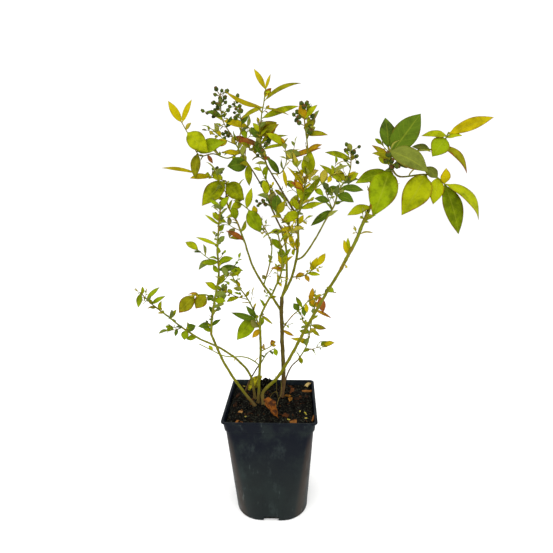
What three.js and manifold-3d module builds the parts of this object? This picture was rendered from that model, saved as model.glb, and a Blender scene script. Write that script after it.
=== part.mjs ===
// A highbush blueberry in a square two-litre nursery pot, in millimetres with +Z up.
// The origin is the middle of the pot's flat underside. The pot's walls face the X and Y axes,
// and the front of the plant is towards -Y.
//
// The plant is a tree of tapering stems. Canes and boughs are bare limbs; a spray is a leafy mass:
// one stem that carries on from a limb, with twigs, leaves and berries fused to it.
import * as THREE from "three";
import { mergeVertices } from "three/addons/utils/BufferGeometryUtils.js";
import Module from "manifold-3d";

const wasm = await Module();
wasm.setup();

// ---- Driving dimensions -------------------------------------------------------------------------

const POT = {
  height: 162,
  lipHalf: 65,
  lipCorner: 7,
  lipThickness: 2,
  collarHeight: 15.3,
  collarTopHalf: 62.8,
  collarFootHalf: 61.35,
  bodyTopHalf: 59.95,
  bodyTopCorner: 9,
  baseHalf: 52.2,
  baseCorner: 38,
  baseEdge: 1.2,
  wall: 1.1,
  floor: 1.8,
};
const NOTCH = { width: 21.5, height: 6.5, depth: 12, roof: 1.5, wall: 1.2, past: 4 };
const DRAIN = { radius: 4.5, out: 27 };
const CORNER_STEPS = 5;
const GAP = 0.3; // clearance between neighbouring pieces
const FACET_TOLERANCE = 0.15; // facets flatter than this are merged

const GROUND = 158; // level of the compost where the canes leave it
const GROUND_DIVISIONS = 10;
const LEVEL_RADIUS = 15; // the compost is level this near to a cane or a fallen leaf
const CLOD_HEIGHT = 1.6;
const CRUMB_HEIGHT = 1.1;
const EDGE_DIP = 1.5; // how far the compost falls away towards the wall
const SIDE_CLEARANCE = 0.8; // compost to the pot's wall, at the flats

const LIMB_SIDES = 6;
const LIMB_STEP = 24; // length of one straight stretch of a limb
const SPRAY_SIDES = 3;
const SPRAY_STEP = 20;
const ROOT_FLARE = 0.45; // how much thicker a cane is where it meets the compost
const FLARE_LENGTH = 6;
const NEIGHBOUR_SHARE = 0.1; // stems that leave one parent nearer than this are cut from each other

const LARGE_LEAF = 30;
const SMALL_LEAF = 18;
const LEAF_THICKNESS = 0.9;
const LEAF_ROOT = 0.45; // half-width of a leaf stalk where it enters the twig
const LAST_LEAF = 0.97; // share of a stem's length where its end leaves are rooted
const LEAF_ASPECT = 0.5; // width over length of an ordinary leaf
const LEAF_ARCH = 0.05; // rise of the blade's middle over its length
const LEAF_FOLD = 0.12; // lift of the blade's edges over its half-width
const TWIG_RADIUS = [0.8, 0.5];
const TWIG_LEAVES = [0.34, 0.6, 0.82, 1]; // shares of a twig's length
const BERRY_RADIUS = 3;
const STALK_RADIUS = 0.55;

// The rule that fills a spray. Each range is [least, most]; angles are in degrees.
const GOLDEN_ANGLE = 137.5; // from one leaf, twig or berry to the next round the stem
const LEAF_TILT = [35, 70];
const END_LEAF_TILT = 15;
const FACE_TILT = [15, 65]; // of a leaf's face, from straight up
const LEAF_SIZE = [0.75, 1.25]; // times the spray's leaf length
const TWIG_TILT = [40, 60];
const TWIG_LENGTH = [1.5, 2.3]; // times the spray's leaf length
const BERRY_TILT = [50, 80];
const BERRY_REACH = [5, 10];
const BERRY_SIZE = [0.8, 1.15]; // times the berry radius
const BERRY_SPREAD = 0.55; // share of the stem's length that carries berries

const COLOURS = {
  pot: "#20272b",
  compost: "#1f1a16",
  bark: "#6b5a30",
  cane: "#7d8238",
  lime: "#9aa60a",
  green: "#6f8f0a",
  dark: "#4d6b20",
  yellow: "#c9b800",
  rust: "#b04a10",
  straw: "#c9a06a",
};
const ROUGHNESS = { pot: 0.5, compost: 0.95, litter: 0.9, bark: 0.7, leaf: 0.6 };

// ---- Limbs: canes from the compost, and the boughs that leave them ------------------------------
// from: the parent limb and the share of its length; through: the points that the limb bends through.

const LIMBS = [
  {
    name: "cane_left",
    foot: [-24, -10],
    through: [[-40, -12, 182], [-62, -18, 223], [-79, -26, 273]],
    radius: [2, 1.6],
    colour: COLOURS.cane,
  },
  {
    name: "cane_low_left",
    foot: [-25, 10],
    through: [[-31, 14, 192], [-47, 18, 213], [-74, 22, 232], [-107, 24, 247]],
    radius: [1.9, 1.4],
    colour: COLOURS.cane,
  },
  {
    name: "cane_centre_left",
    foot: [-19, -1],
    through: [[-17, -5, 196], [-13, -10, 244], [-13, -13, 274]],
    radius: [2.1, 1.7],
    colour: COLOURS.cane,
  },
  {
    name: "cane_centre",
    foot: [15, 15],
    through: [[18, 15, 190], [17, 15, 230], [16, 13, 290], [17, 12, 315]],
    radius: [3.1, 2.7],
    colour: COLOURS.bark,
  },
  {
    name: "cane_right",
    foot: [-11, -7],
    through: [[-12, 0, 174], [6, 0, 193], [22, -4, 219], [62, -34, 307], [91, -66, 371]],
    radius: [2.4, 1.8],
    colour: COLOURS.cane,
  },
  {
    name: "shoot_back",
    foot: [17, 43],
    through: [[22, 44, 178], [29, 46, 193], [40, 50, 203]],
    radius: [1.3, 1],
    colour: COLOURS.bark,
  },
  {
    name: "shoot_fine",
    foot: [-42, 30],
    through: [[-35, 28, 177], [-22, 18, 203], [-13, 8, 219]],
    radius: [1.2, 0.9],
    colour: COLOURS.bark,
  },
  {
    name: "bough_centre_left",
    from: ["cane_centre", 0.86],
    through: [[4, 20, 311], [-12, 28, 332], [-27, 36, 358], [-38, 46, 389]],
    radius: [1.9, 1.3],
    colour: COLOURS.cane,
  },
  {
    name: "bough_centre_back",
    from: ["cane_centre", 1],
    through: [[23, 17, 335], [24, 21, 357], [23, 27, 383], [17, 33, 408]],
    radius: [1.8, 1.4],
    colour: COLOURS.cane,
  },
  {
    name: "bough_centre_right",
    from: ["cane_centre", 1],
    through: [[30, 4, 343], [37, -4, 371], [40, -12, 399], [39, -20, 431]],
    radius: [1.9, 1.5],
    colour: COLOURS.cane,
  },
  {
    name: "bough_upper_left",
    from: ["bough_centre_back", 1],
    through: [[5, 40, 433], [-11, 50, 468], [-28, 58, 496]],
    radius: [1.3, 1],
    colour: COLOURS.bark,
  },
  {
    name: "bough_crossing",
    from: ["bough_centre_right", 1],
    through: [[27, -14, 450], [12, -10, 475], [0, -8, 495]],
    radius: [1.3, 1],
    colour: COLOURS.bark,
  },
  {
    name: "bough_back_right",
    from: ["bough_centre_right", 0.5],
    through: [[48, 4, 376], [64, 22, 396], [80, 38, 422]],
    radius: [1.4, 1.1],
    colour: COLOURS.cane,
  },
];

// ---- Sprays: the masses of foliage --------------------------------------------------------------
// leaves: the large leaves, each [share of the stem, heading, rise, length, width, tilt to the front]
// with the arch of a strongly bent one last. Heading, rise and tilt are in degrees.
// fill: how many ordinary leaves the rule adds along the stem; twigs: how many side twigs;
// leaf: their leaf length; berries: how many hang round the stem's end.

const SPRAYS = [
  {
    name: "left_cane_low_spray",
    from: ["cane_left", 1],
    through: [[-76, -30, 297], [-70, -34, 326]],
    radius: [1.5, 1.3],
    tint: "green",
    leaves: [[0.95, -15, 0, 16, 9, 60], [0.26, -165, 0, 18, 9, 60]],
    fill: 6,
    twigs: 1,
    leaf: 15,
  },
  {
    name: "left_cane_middle_spray",
    from: ["left_cane_low_spray", 1],
    through: [[-63, -37, 358], [-63, -40, 391]],
    radius: [1.25, 1.1],
    tint: "green",
    leaves: [[0.76, -165, 0, 21, 9, 60], [0.76, 15, 15, 20, 9, 60], [0.6, -10, 10, 27, 9, 60]],
    fill: 8,
    twigs: 2,
    leaf: 17,
  },
  {
    name: "left_cane_top_spray",
    from: ["left_cane_middle_spray", 1],
    through: [[-59, -43, 423], [-55, -46, 447]],
    radius: [1.05, 0.7],
    tint: "lime",
    leaves: [
      [1, -30, 45, 18, 9, 70],
      [1, 165, 30, 18, 5, 60],
      [0.57, 165, 35, 23, 4, 60],
      [0.11, 170, 20, 31, 5, 60],
    ],
    fill: 8,
    twigs: 1,
    leaf: 14,
  },
  {
    name: "left_hanging_spray",
    from: ["left_cane_low_spray", 0.97],
    through: [[-82, -38, 332], [-100, -44, 332]],
    radius: [0.8, 0.6],
    tint: "yellow",
    leaves: [
      [0.85, -158, -45, 30, 18, 80],
      [0.42, -145, -48, 22, 17, 80],
      [0.33, 35, -45, 10, 10, 70],
    ],
    fill: 2,
    twigs: 0,
    leaf: 13,
  },
  {
    name: "low_left_middle_spray",
    from: ["cane_low_left", 1],
    through: [[-131, 22, 265], [-154, 16, 288]],
    radius: [1.3, 1],
    tint: "dark",
    leaves: [[0.84, 25, 55, 16, 6, 60], [0.39, -115, -70, 15, 12, 60], [0.39, 20, 20, 16, 12, 60]],
    fill: 5,
    twigs: 1,
    leaf: 14,
  },
  {
    name: "low_left_end_spray",
    from: ["low_left_middle_spray", 1],
    through: [[-171, 8, 307], [-183, 2, 325]],
    radius: [0.95, 0.6],
    tint: "green",
    leaves: [[1, -120, -70, 21, 9, 75], [0.73, 20, 40, 25, 7, 60], [0.52, -15, 30, 27, 7, 60]],
    fill: 7,
    twigs: 0,
    leaf: 13,
  },
  {
    name: "inner_left_spray",
    from: ["cane_centre_left", 1],
    through: [[-22, -4, 299], [-32, 4, 316], [-45, 10, 332], [-56, 14, 351]],
    radius: [1, 0.6],
    tint: "green",
    leaves: [
      [0.15, -174, 20, 38, 9, 70],
      [0.2, -148, 52, 24, 8, 70],
      [0.22, -155, -47, 42, 20, 80],
      [0.02, -147, -41, 16, 8, 80],
    ],
    fill: 8,
    twigs: 1,
    leaf: 17,
  },
  {
    name: "centre_left_spray",
    from: ["cane_centre_left", 1],
    through: [[-12, -16, 294], [-4, -22, 313], [6, -28, 331]],
    radius: [1.4, 1.2],
    tint: "green",
    leaves: [[0.38, -15, -35, 21, 4, 60]],
    fill: 4,
    twigs: 0,
    leaf: 13,
  },
  {
    name: "centre_left_top_spray",
    from: ["centre_left_spray", 1],
    through: [[18, -36, 361], [19, -42, 386], [14, -48, 417]],
    radius: [1.15, 0.7],
    tint: "lime",
    leaves: [[0.43, -160, 5, 15, 5, 60], [0.46, 140, 65, 17, 5, 60]],
    fill: 9,
    twigs: 2,
    leaf: 16,
  },
  {
    name: "centre_bough_spray",
    from: ["bough_centre_left", 1],
    through: [[-49, 52, 418], [-63, 56, 444], [-64, 60, 477]],
    radius: [1.25, 0.8],
    tint: "green",
    leaves: [
      [0.98, -15, -42, 36, 24, 75],
      [0.03, -166, 31, 30, 12, 60, 0.1],
      [0.38, -100, 70, 25, 12, 60],
    ],
    fill: 8,
    twigs: 3,
    leaf: 19,
  },
  {
    name: "middle_left_spray",
    from: ["bough_centre_left", 0.4],
    through: [[0, 27, 363], [2, 29, 389], [-11, 32, 417], [-29, 36, 436], [-51, 40, 453]],
    radius: [0.9, 0.6],
    tint: "green",
    leaves: [
      [0.82, -25, -59, 37, 21, 80],
      [0.84, -30, 72, 30, 10, 80],
      [0.9, -162, -9, 15, 12, 70],
    ],
    fill: 6,
    twigs: 1,
    leaf: 14,
  },
  {
    name: "rear_spray",
    from: ["bough_centre_back", 0.85],
    through: [[29, 52, 420], [32, 74, 448]],
    radius: [0.9, 0.6],
    tint: "green",
    leaves: [],
    fill: 8,
    twigs: 2,
    leaf: 14,
  },
  {
    name: "front_centre_spray",
    from: ["bough_centre_right", 0.8],
    through: [[24, -26, 424], [11, -36, 439]],
    radius: [0.9, 0.6],
    tint: "green",
    leaves: [],
    fill: 6,
    twigs: 2,
    leaf: 17,
  },
  {
    name: "thin_left_spray",
    from: ["centre_bough_spray", 1],
    through: [[-86, 52, 483], [-106, 46, 489]],
    radius: [0.75, 0.5],
    tint: "lime",
    leaves: [[1, -175, 10, 49, 6, 60], [0.52, -160, 0, 29, 9, 60], [0.03, -156, -43, 50, 27, 75]],
    fill: 3,
    twigs: 0,
    leaf: 16,
  },
  {
    name: "heart_spray",
    from: ["bough_upper_left", 0.3],
    through: [[1, 38, 466], [-6, 34, 482]],
    radius: [0.9, 0.6],
    tint: "dark",
    leaves: [[0.1, -80, 72, 25, 14, 80]],
    fill: 7,
    twigs: 2,
    leaf: 13,
  },
  {
    name: "upper_left_spray",
    from: ["bough_upper_left", 1],
    through: [[-43, 63, 518], [-54, 68, 540]],
    radius: [0.95, 0.8],
    tint: "green",
    leaves: [
      [0.12, -172, 10, 31, 18, 60],
      [0.1, -80, -80, 31, 11, 80],
      [0.46, -170, 5, 27, 9, 60],
      [0.97, -15, -20, 28, 10, 60],
    ],
    fill: 7,
    twigs: 2,
    leaf: 18,
  },
  {
    name: "upper_left_berry_spray",
    from: ["upper_left_spray", 1],
    through: [[-67, 71, 561], [-70, 74, 582], [-70, 76, 600]],
    radius: [0.75, 0.6],
    tint: "dark",
    leaves: [[0.4, -11, -16, 43, 12, 60], [0.49, -165, 20, 23, 9, 60]],
    fill: 6,
    twigs: 0,
    leaf: 14,
    berries: 10,
  },
  {
    name: "far_left_spray",
    from: ["upper_left_spray", 0.5],
    through: [[-60, 58, 509], [-80, 52, 515], [-99, 48, 513], [-110, 44, 537], [-121, 42, 559]],
    radius: [0.8, 0.55],
    tint: "lime",
    leaves: [
      [0.85, -23, -40, 42, 25, 75],
      [0.6, -11, 21, 45, 17, 60],
      [0.58, -113, -75, 36, 14, 75],
      [1, -167, 59, 34, 11, 80],
      [1, 20, 65, 35, 8, 80],
    ],
    fill: 5,
    twigs: 0,
    leaf: 16,
  },
  {
    name: "right_centre_spray",
    from: ["bough_centre_right", 1],
    through: [[45, -24, 448], [48, -28, 468], [51, -31, 488]],
    radius: [1.2, 0.9],
    tint: "lime",
    leaves: [
      [0.88, -50, 75, 31, 17, 80],
      [0.59, -155, 30, 21, 7, 60],
      [0.32, 20, 55, 30, 9, 60],
      [0.32, 25, 50, 46, 8, 60],
      [0.65, -165, 50, 34, 4, 60],
      [0.18, -12, 15, 30, 9, 60],
      [0.1, -160, -28, 27, 14, 70],
      [0.5, -140, 50, 24, 9, 70],
    ],
    fill: 9,
    twigs: 3,
    leaf: 19,
  },
  {
    name: "right_centre_berry_spray",
    from: ["right_centre_spray", 1],
    through: [[51, -36, 516], [48, -40, 540], [46, -42, 559]],
    radius: [0.85, 0.6],
    tint: "green",
    leaves: [
      [0.33, -20, 20, 19, 7, 60],
      [0.58, -10, 0, 26, 9, 60],
      [0.6, -26, 56, 17, 12, 60],
      [0.82, -15, 45, 22, 7, 60],
      [0.82, -142, 68, 18, 10, 70],
    ],
    fill: 4,
    twigs: 1,
    leaf: 15,
    berries: 6,
  },
  {
    name: "high_spray",
    from: ["bough_crossing", 1],
    through: [[-6, -8, 515], [-8, -10, 533]],
    radius: [0.95, 0.85],
    tint: "green",
    leaves: [
      [0.95, -15, 30, 28, 13, 70],
      [0.85, 155, 50, 22, 11, 70],
      [0.59, -170, 25, 31, 8, 60],
      [0.37, -150, 50, 18, 9, 70],
      [0.78, 15, 15, 37, 6, 60],
      [0.53, -15, 10, 35, 5, 60],
    ],
    fill: 8,
    twigs: 3,
    leaf: 14,
    berries: 2,
  },
  {
    name: "top_spray",
    from: ["high_spray", 1],
    through: [[-5, -14, 556], [-2, -16, 569], [1, -20, 586]],
    radius: [0.8, 0.55],
    tint: "yellow",
    leaves: [
      [1, 165, 60, 29, 7, 80],
      [1, -30, 65, 18, 4, 80],
      [0.72, -5, 25, 50, 6, 70, 0.18],
      [0.6, -173, 23, 50, 7, 60, -0.15],
      [0.6, -163, -26, 31, 7, 60],
      [0.35, 5, 19, 50, 11, 70],
    ],
    fill: 3,
    twigs: 0,
    leaf: 14,
  },
  {
    name: "back_right_spray",
    from: ["bough_back_right", 1],
    through: [[92, 46, 441], [99, 54, 462], [109, 58, 476]],
    radius: [1.05, 0.85],
    tint: "dark",
    leaves: [
      [0.78, -168, -12, 23, 11, 60],
      [0.9, -170, 40, 44, 9, 60],
      [1, 150, 50, 24, 10, 60],
      [0.98, 15, 30, 24, 11, 60],
      [0.61, -20, -20, 26, 16, 60],
      [0.78, 10, -5, 36, 12, 60],
      [0.25, -168, -35, 38, 11, 70],
    ],
    fill: 6,
    twigs: 2,
    leaf: 18,
    berries: 3,
  },
  {
    name: "back_right_berry_spray",
    from: ["back_right_spray", 1],
    through: [[116, 62, 494], [116, 68, 522]],
    radius: [0.8, 0.6],
    tint: "lime",
    leaves: [[0.62, 170, 20, 40, 10, 60]],
    fill: 4,
    twigs: 0,
    leaf: 16,
    berries: 6,
  },
  {
    name: "right_cane_spray",
    from: ["cane_right", 1],
    through: [[105, -88, 409], [110, -97, 427]],
    radius: [1.75, 1.55],
    tint: "yellow",
    leaves: [[0.34, 145, 70, 19, 7, 80]],
    fill: 3,
    twigs: 0,
    leaf: 14,
  },
  {
    name: "right_lower_spray",
    from: ["right_cane_spray", 1],
    through: [[117, -108, 449], [125, -116, 467], [133, -122, 487]],
    radius: [1.5, 1.2],
    tint: "green",
    leaves: [[0.93, -170, -15, 36, 14, 50], [0.97, -135, -60, 52, 29, 72], [0.34, 170, -20, 26, 12, 50]],
    fill: 7,
    twigs: 0,
    leaf: 18,
  },
  {
    name: "right_upper_spray",
    from: ["right_lower_spray", 1],
    through: [[132, -124, 497], [129, -124, 507]],
    radius: [1.1, 0.8],
    tint: "green",
    leaves: [
      [1, 125, 80, 30, 17, 70],
      [0.61, 10, 53, 50, 25, 70],
      [0.83, -22, -27, 44, 24, 60],
      [0.28, -170, 40, 26, 7, 60],
      [0.37, -145, 15, 26, 8, 60],
    ],
    fill: 2,
    twigs: 0,
    leaf: 14,
  },
  {
    name: "right_end_spray",
    from: ["right_lower_spray", 1],
    through: [[146, -119, 498], [158, -117, 503], [172, -118, 504], [182, -122, 508], [187, -126, 520]],
    radius: [0.9, 0.6],
    tint: "lime",
    leaves: [
      [0.97, -9, 20, 44, 12, 70],
      [0.94, 165, 5, 24, 11, 50],
      [0.91, -160, -50, 22, 19, 65],
      [0.92, -35, 5, 15, 9, 50],
      [0.78, -26, -42, 38, 9, 60, 0.22],
      [0.64, 165, 15, 18, 9, 60],
      [0.1, 20, -10, 18, 10, 60],
    ],
    fill: 3,
    twigs: 0,
    leaf: 15,
  },
  {
    name: "right_hanging_spray",
    from: ["right_lower_spray", 1],
    through: [[145, -112, 478], [167, -118, 480], [179, -122, 477], [187, -128, 469]],
    radius: [0.85, 0.6],
    tint: "lime",
    leaves: [
      [0.66, -148, -52, 49, 27, 75],
      [0.83, -116, -61, 29, 15, 75],
      [0.83, 160, 40, 18, 13, 60],
      [0.97, -100, 70, 16, 10, 70],
      [1, -31, -69, 53, 19, 75],
      [1, -14, -44, 50, 12, 50, 0.22],
    ],
    fill: 1,
    twigs: 0,
    leaf: 14,
  },
  {
    name: "back_shoot_spray",
    from: ["shoot_back", 1],
    through: [[54, 55, 226], [60, 58, 257], [66, 60, 292]],
    radius: [0.95, 0.6],
    tint: "lime",
    leaves: [[0.95, 160, 60, 19, 7, 70], [0.97, -26, 7, 15, 10, 70], [0.9, -12, -24, 31, 5, 60]],
    fill: 9,
    twigs: 3,
    leaf: 15,
  },
  {
    name: "inner_right_spray",
    from: ["cane_centre", 0.67],
    through: [[24, 8, 279], [34, 4, 292], [45, 0, 302], [53, -3, 312], [67, -7, 320], [80, -11, 328], [91, -14, 328]],
    radius: [0.8, 0.5],
    tint: "dark",
    leaves: [
      [0.42, 150, 45, 13, 9, 70],
      [0.5, -60, -75, 14, 7, 80],
      [0.64, 20, 80, 18, 7, 80],
      [0.56, -50, -80, 14, 6, 80],
      [0.97, 150, 30, 13, 8, 70],
    ],
    fill: 4,
    twigs: 0,
    leaf: 13,
  },
  {
    name: "yellow_side_spray",
    from: ["bough_centre_right", 0.28],
    through: [[49, -8, 351], [66, -20, 367]],
    radius: [0.75, 0.5],
    tint: "yellow",
    leaves: [[0.71, -30, 65, 21, 9, 70], [0.97, 20, 55, 20, 9, 70], [0.57, -25, 0, 18, 6, 60]],
    fill: 3,
    twigs: 0,
    leaf: 13,
  },
  {
    name: "yellow_short_spray",
    from: ["bough_centre_right", 0.62],
    through: [[34, -14, 388]],
    radius: [0.65, 0.5],
    tint: "yellow",
    leaves: [[0.9, -145, 70, 25, 7, 70]],
    fill: 2,
    twigs: 0,
    leaf: 14,
  },
  {
    name: "bare_left_spray",
    from: ["cane_centre_left", 0.52],
    through: [[-23, -18, 231], [-35, -26, 240], [-58, -38, 246], [-75, -46, 258], [-90, -52, 269]],
    radius: [0.8, 0.5],
    tint: "yellow",
    leaves: [],
    fill: 3,
    twigs: 0,
    leaf: 9,
  },
  {
    name: "small_centre_spray",
    from: ["cane_centre_left", 0.72],
    through: [[0, -14, 250], [8, -18, 258]],
    radius: [0.7, 0.5],
    tint: "rust",
    leaves: [[0.86, -110, 50, 11, 8, 60]],
    fill: 2,
    twigs: 0,
    leaf: 9,
  },
  {
    name: "fine_shoot_spray",
    from: ["shoot_fine", 1],
    through: [[-4, 2, 235], [7, -4, 244]],
    radius: [0.8, 0.5],
    tint: "dark",
    leaves: [[1, -35, -70, 11, 7, 80]],
    fill: 2,
    twigs: 0,
    leaf: 10,
  },
  {
    name: "crossing_side_spray",
    from: ["bough_crossing", 0.85],
    through: [[18, -12, 486], [25, -15, 499], [24, -16, 514], [23, -17, 522]],
    radius: [0.7, 0.5],
    tint: "lime",
    leaves: [
      [1, -170, 30, 27, 11, 70],
      [0.8, -15, -15, 22, 10, 60],
      [0.6, -8, 18, 46, 8, 60],
      [0.35, -60, -70, 24, 5, 60],
    ],
    fill: 4,
    twigs: 0,
    leaf: 14,
  },
  {
    name: "upper_middle_berry_spray",
    from: ["upper_left_spray", 0.76],
    through: [[-41, 56, 541], [-38, 50, 559], [-43, 46, 572], [-47, 44, 583]],
    radius: [0.7, 0.5],
    tint: "dark",
    leaves: [[0.5, -20, 50, 18, 9, 70]],
    fill: 4,
    twigs: 0,
    leaf: 13,
    berries: 5,
  },
];

// ---- Geometry helpers ---------------------------------------------------------------------------

const UP = new THREE.Vector3(0, 0, 1);
const FRONT = new THREE.Vector3(0, -1, 0);
const radians = THREE.MathUtils.degToRad;
const point = (list) => new THREE.Vector3(...list);

// Seeded random numbers from 0 to 1, the same on every run.
function randomFrom(seed) {
  let state = seed;
  return () => {
    state = (state + 0x6d2b79f5) | 0;
    let mixed = Math.imul(state ^ (state >>> 15), 1 | state);
    mixed = (mixed + Math.imul(mixed ^ (mixed >>> 7), 61 | mixed)) ^ mixed;
    return ((mixed ^ (mixed >>> 14)) >>> 0) / 4294967296;
  };
}

const within = ([least, most], random) => least + (most - least) * random();

function solidFrom(geometry) {
  geometry.deleteAttribute("normal");
  geometry.deleteAttribute("uv");
  const merged = mergeVertices(geometry, 1e-4);
  const triVerts = new Uint32Array(merged.index.array);
  const vertProperties = merged.attributes.position.array;
  return new wasm.Manifold(new wasm.Mesh({ numProp: 3, vertProperties, triVerts }));
}

// A cylinder whose rings are put where place(share, across, over) says: share runs from 0 to 1
// along it, and across and over are the sine and cosine round the ring, or 0 and 0 at its middle.
function loft(sides, steps, pointed, place) {
  const geometry = new THREE.CylinderGeometry(pointed ? 0 : 1, 1, 1, sides, steps);
  const position = geometry.attributes.position;
  for (let i = 0; i < position.count; i++) {
    const reach = Math.hypot(position.getX(i), position.getZ(i));
    const scale = reach > 1e-6 ? 1 / reach : 0;
    const share = position.getY(i) + 0.5;
    const put = place(share, position.getX(i) * scale, position.getZ(i) * scale);
    position.setXYZ(i, put.x, put.y, put.z);
  }
  return solidFrom(geometry);
}

const curveThrough = (points) => new THREE.CatmullRomCurve3(points, false, "catmullrom", 0.5);

// A tapering round stem along a curve, with an optional flare at its foot. Grown makes it thicker
// and longer all round, which is the space that its neighbours keep out of.
function stemSolid(curve, radius, sides, steps, flare = 0, grown = 0) {
  const frames = curve.computeFrenetFrames(steps);
  const length = curve.getLength();
  return loft(sides, steps, false, (share, across, over) => {
    const i = Math.round(share * steps);
    const swell = 1 + flare * Math.exp((-share * length) / FLARE_LENGTH);
    const thick = THREE.MathUtils.lerp(radius[0], radius[1], share) * swell + grown;
    const along = share === 0 ? -grown : share === 1 ? grown : 0;
    return curve
      .getPointAt(share)
      .addScaledVector(frames.tangents[i], along)
      .addScaledVector(frames.normals[i], across * thick)
      .addScaledVector(frames.binormals[i], -over * thick);
  });
}

const headingVector = (heading, rise) =>
  new THREE.Vector3(
    Math.cos(radians(rise)) * Math.cos(radians(heading)),
    Math.cos(radians(rise)) * Math.sin(radians(heading)),
    Math.sin(radians(rise)),
  );

// The direction that a leaf's upper face turns to, square to the leaf itself.
function faceOf(direction, towards, tilt) {
  const face = UP.clone().multiplyScalar(Math.cos(radians(tilt)));
  face.addScaledVector(towards, Math.sin(radians(tilt)));
  face.addScaledVector(direction, -face.dot(direction));
  const endOn = face.length() < 0.05;
  if (endOn) face.copy(FRONT).addScaledVector(direction, -FRONT.dot(direction));
  return face.normalize();
}

// One leaf: an arched, pointed blade that starts as a stalk in the middle of its twig. A small one
// has a ridge on top and a flat underside, and a large one is folded a little along its midrib.
function leafSolid({ root, direction, face, length, width, bend = LEAF_ARCH }, grown = 0) {
  const side = direction.clone().cross(face);
  const large = length > LARGE_LEAF;
  const widen = large ? 1 : 1 / Math.sin(radians(120));
  const steps = length > SMALL_LEAF ? 3 : 2;
  return loft(large ? 4 : 3, steps, true, (share, ringAcross, over) => {
    const across = ringAcross * widen;
    const outline = Math.sin(Math.PI * Math.pow(share, 0.9)) ** 0.8 * (width / 2);
    const half = share === 0 ? LEAF_ROOT : share === 1 ? 0 : Math.max(outline, LEAF_ROOT);
    const thick = share === 0 ? LEAF_ROOT : LEAF_THICKNESS / 2;
    const arch = 4 * share * (1 - share) * bend * length;
    const fold = large && share > 0 ? Math.abs(across) * half * LEAF_FOLD : 0;
    return root
      .clone()
      .addScaledVector(direction, length * share + (share === 1 ? 2 * grown : 0))
      .addScaledVector(side, across * (half + grown))
      .addScaledVector(face, over * (thick + grown) + arch + fold);
  });
}

function sphereSolid(centre, radius) {
  const geometry = new THREE.IcosahedronGeometry(radius, 0).translate(centre.x, centre.y, centre.z);
  return solidFrom(geometry);
}

// ---- The pot and its compost --------------------------------------------------------------------

// The corner numbered k on a square of rounded corners.
function roundedSquare(k, half, corner) {
  const perCorner = CORNER_STEPS + 1;
  const quarter = Math.floor(k / perCorner) % 4;
  const angle = radians(-90 + 90 * quarter + ((k % perCorner) * 90) / CORNER_STEPS);
  const middle = radians(-45 + 90 * quarter);
  const centre = half - corner;
  return [
    Math.sign(Math.cos(middle)) * centre + corner * Math.cos(angle),
    Math.sign(Math.sin(middle)) * centre + corner * Math.sin(angle),
  ];
}

const COLLAR_FOOT = POT.height - POT.collarHeight;
const STEP = POT.collarFootHalf - POT.bodyTopHalf;

function potSolid() {
  const wall = POT.wall;
  const rings = [
    [0, POT.baseHalf - POT.baseEdge, POT.baseCorner - POT.baseEdge],
    [POT.baseEdge, POT.baseHalf, POT.baseCorner],
    [COLLAR_FOOT, POT.bodyTopHalf, POT.bodyTopCorner],
    [COLLAR_FOOT, POT.collarFootHalf, POT.bodyTopCorner],
    [POT.height - POT.lipThickness, POT.collarTopHalf, POT.lipCorner],
    [POT.height - POT.lipThickness, POT.lipHalf, POT.lipCorner],
    [POT.height, POT.lipHalf, POT.lipCorner],
    [POT.height, POT.collarTopHalf - wall, POT.lipCorner - wall],
    [COLLAR_FOOT + wall, POT.collarFootHalf - wall, POT.bodyTopCorner - wall],
    [COLLAR_FOOT + wall - STEP, POT.bodyTopHalf - wall, POT.bodyTopCorner - wall],
    [POT.floor, POT.baseHalf - wall, POT.baseCorner - wall],
  ];
  const corners = 4 * (CORNER_STEPS + 1);
  const shell = loft(corners, rings.length - 1, false, (share, across, over) => {
    const [z, half, corner] = rings[Math.round(share * (rings.length - 1))];
    if (across === 0 && over === 0) return new THREE.Vector3(0, 0, z);
    const k = Math.round((Math.atan2(across, over) / (2 * Math.PI)) * corners + corners) % corners;
    const [x, y] = roundedSquare(k, half, corner);
    return new THREE.Vector3(x, y, z);
  });
  return drainage().reduce((pot, { housing, cut }) => pot.add(housing).subtract(cut), shell);
}

// A box at the foot of each wall: the housing of the drainage notch inside, and the cut through it.
function notchBox(quarter, extra, height, bottom) {
  const out = POT.baseHalf + (extra ? -POT.wall / 2 : NOTCH.past);
  const inner = POT.baseHalf - NOTCH.depth - extra;
  const box = new THREE.BoxGeometry(out - inner, NOTCH.width + 2 * extra, height - bottom);
  box.translate((out + inner) / 2, 0, (height + bottom) / 2);
  box.rotateZ(quarter * (Math.PI / 2));
  return solidFrom(box);
}

function drainage() {
  return [0, 1, 2, 3].map((quarter) => {
    const housing = notchBox(quarter, NOTCH.wall, NOTCH.height + NOTCH.roof, POT.floor / 2);
    const hole = new THREE.CylinderGeometry(DRAIN.radius, DRAIN.radius, 4 * POT.floor, 12);
    hole.rotateX(Math.PI / 2);
    hole.translate(DRAIN.out, DRAIN.out, 0);
    hole.rotateZ(quarter * (Math.PI / 2));
    return { housing, cut: notchBox(quarter, 0, NOTCH.height, -1).add(solidFrom(hole)) };
  });
}

const FEET = LIMBS.filter((limb) => limb.foot).map((limb) => limb.foot);
const LITTER = [
  { name: "fallen_leaf", at: [-1, -25], heading: -65, length: 27, width: 15, colour: COLOURS.rust },
  { name: "bark_chip", at: [42, 34], heading: 40, length: 14, width: 5, colour: COLOURS.straw },
];

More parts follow.
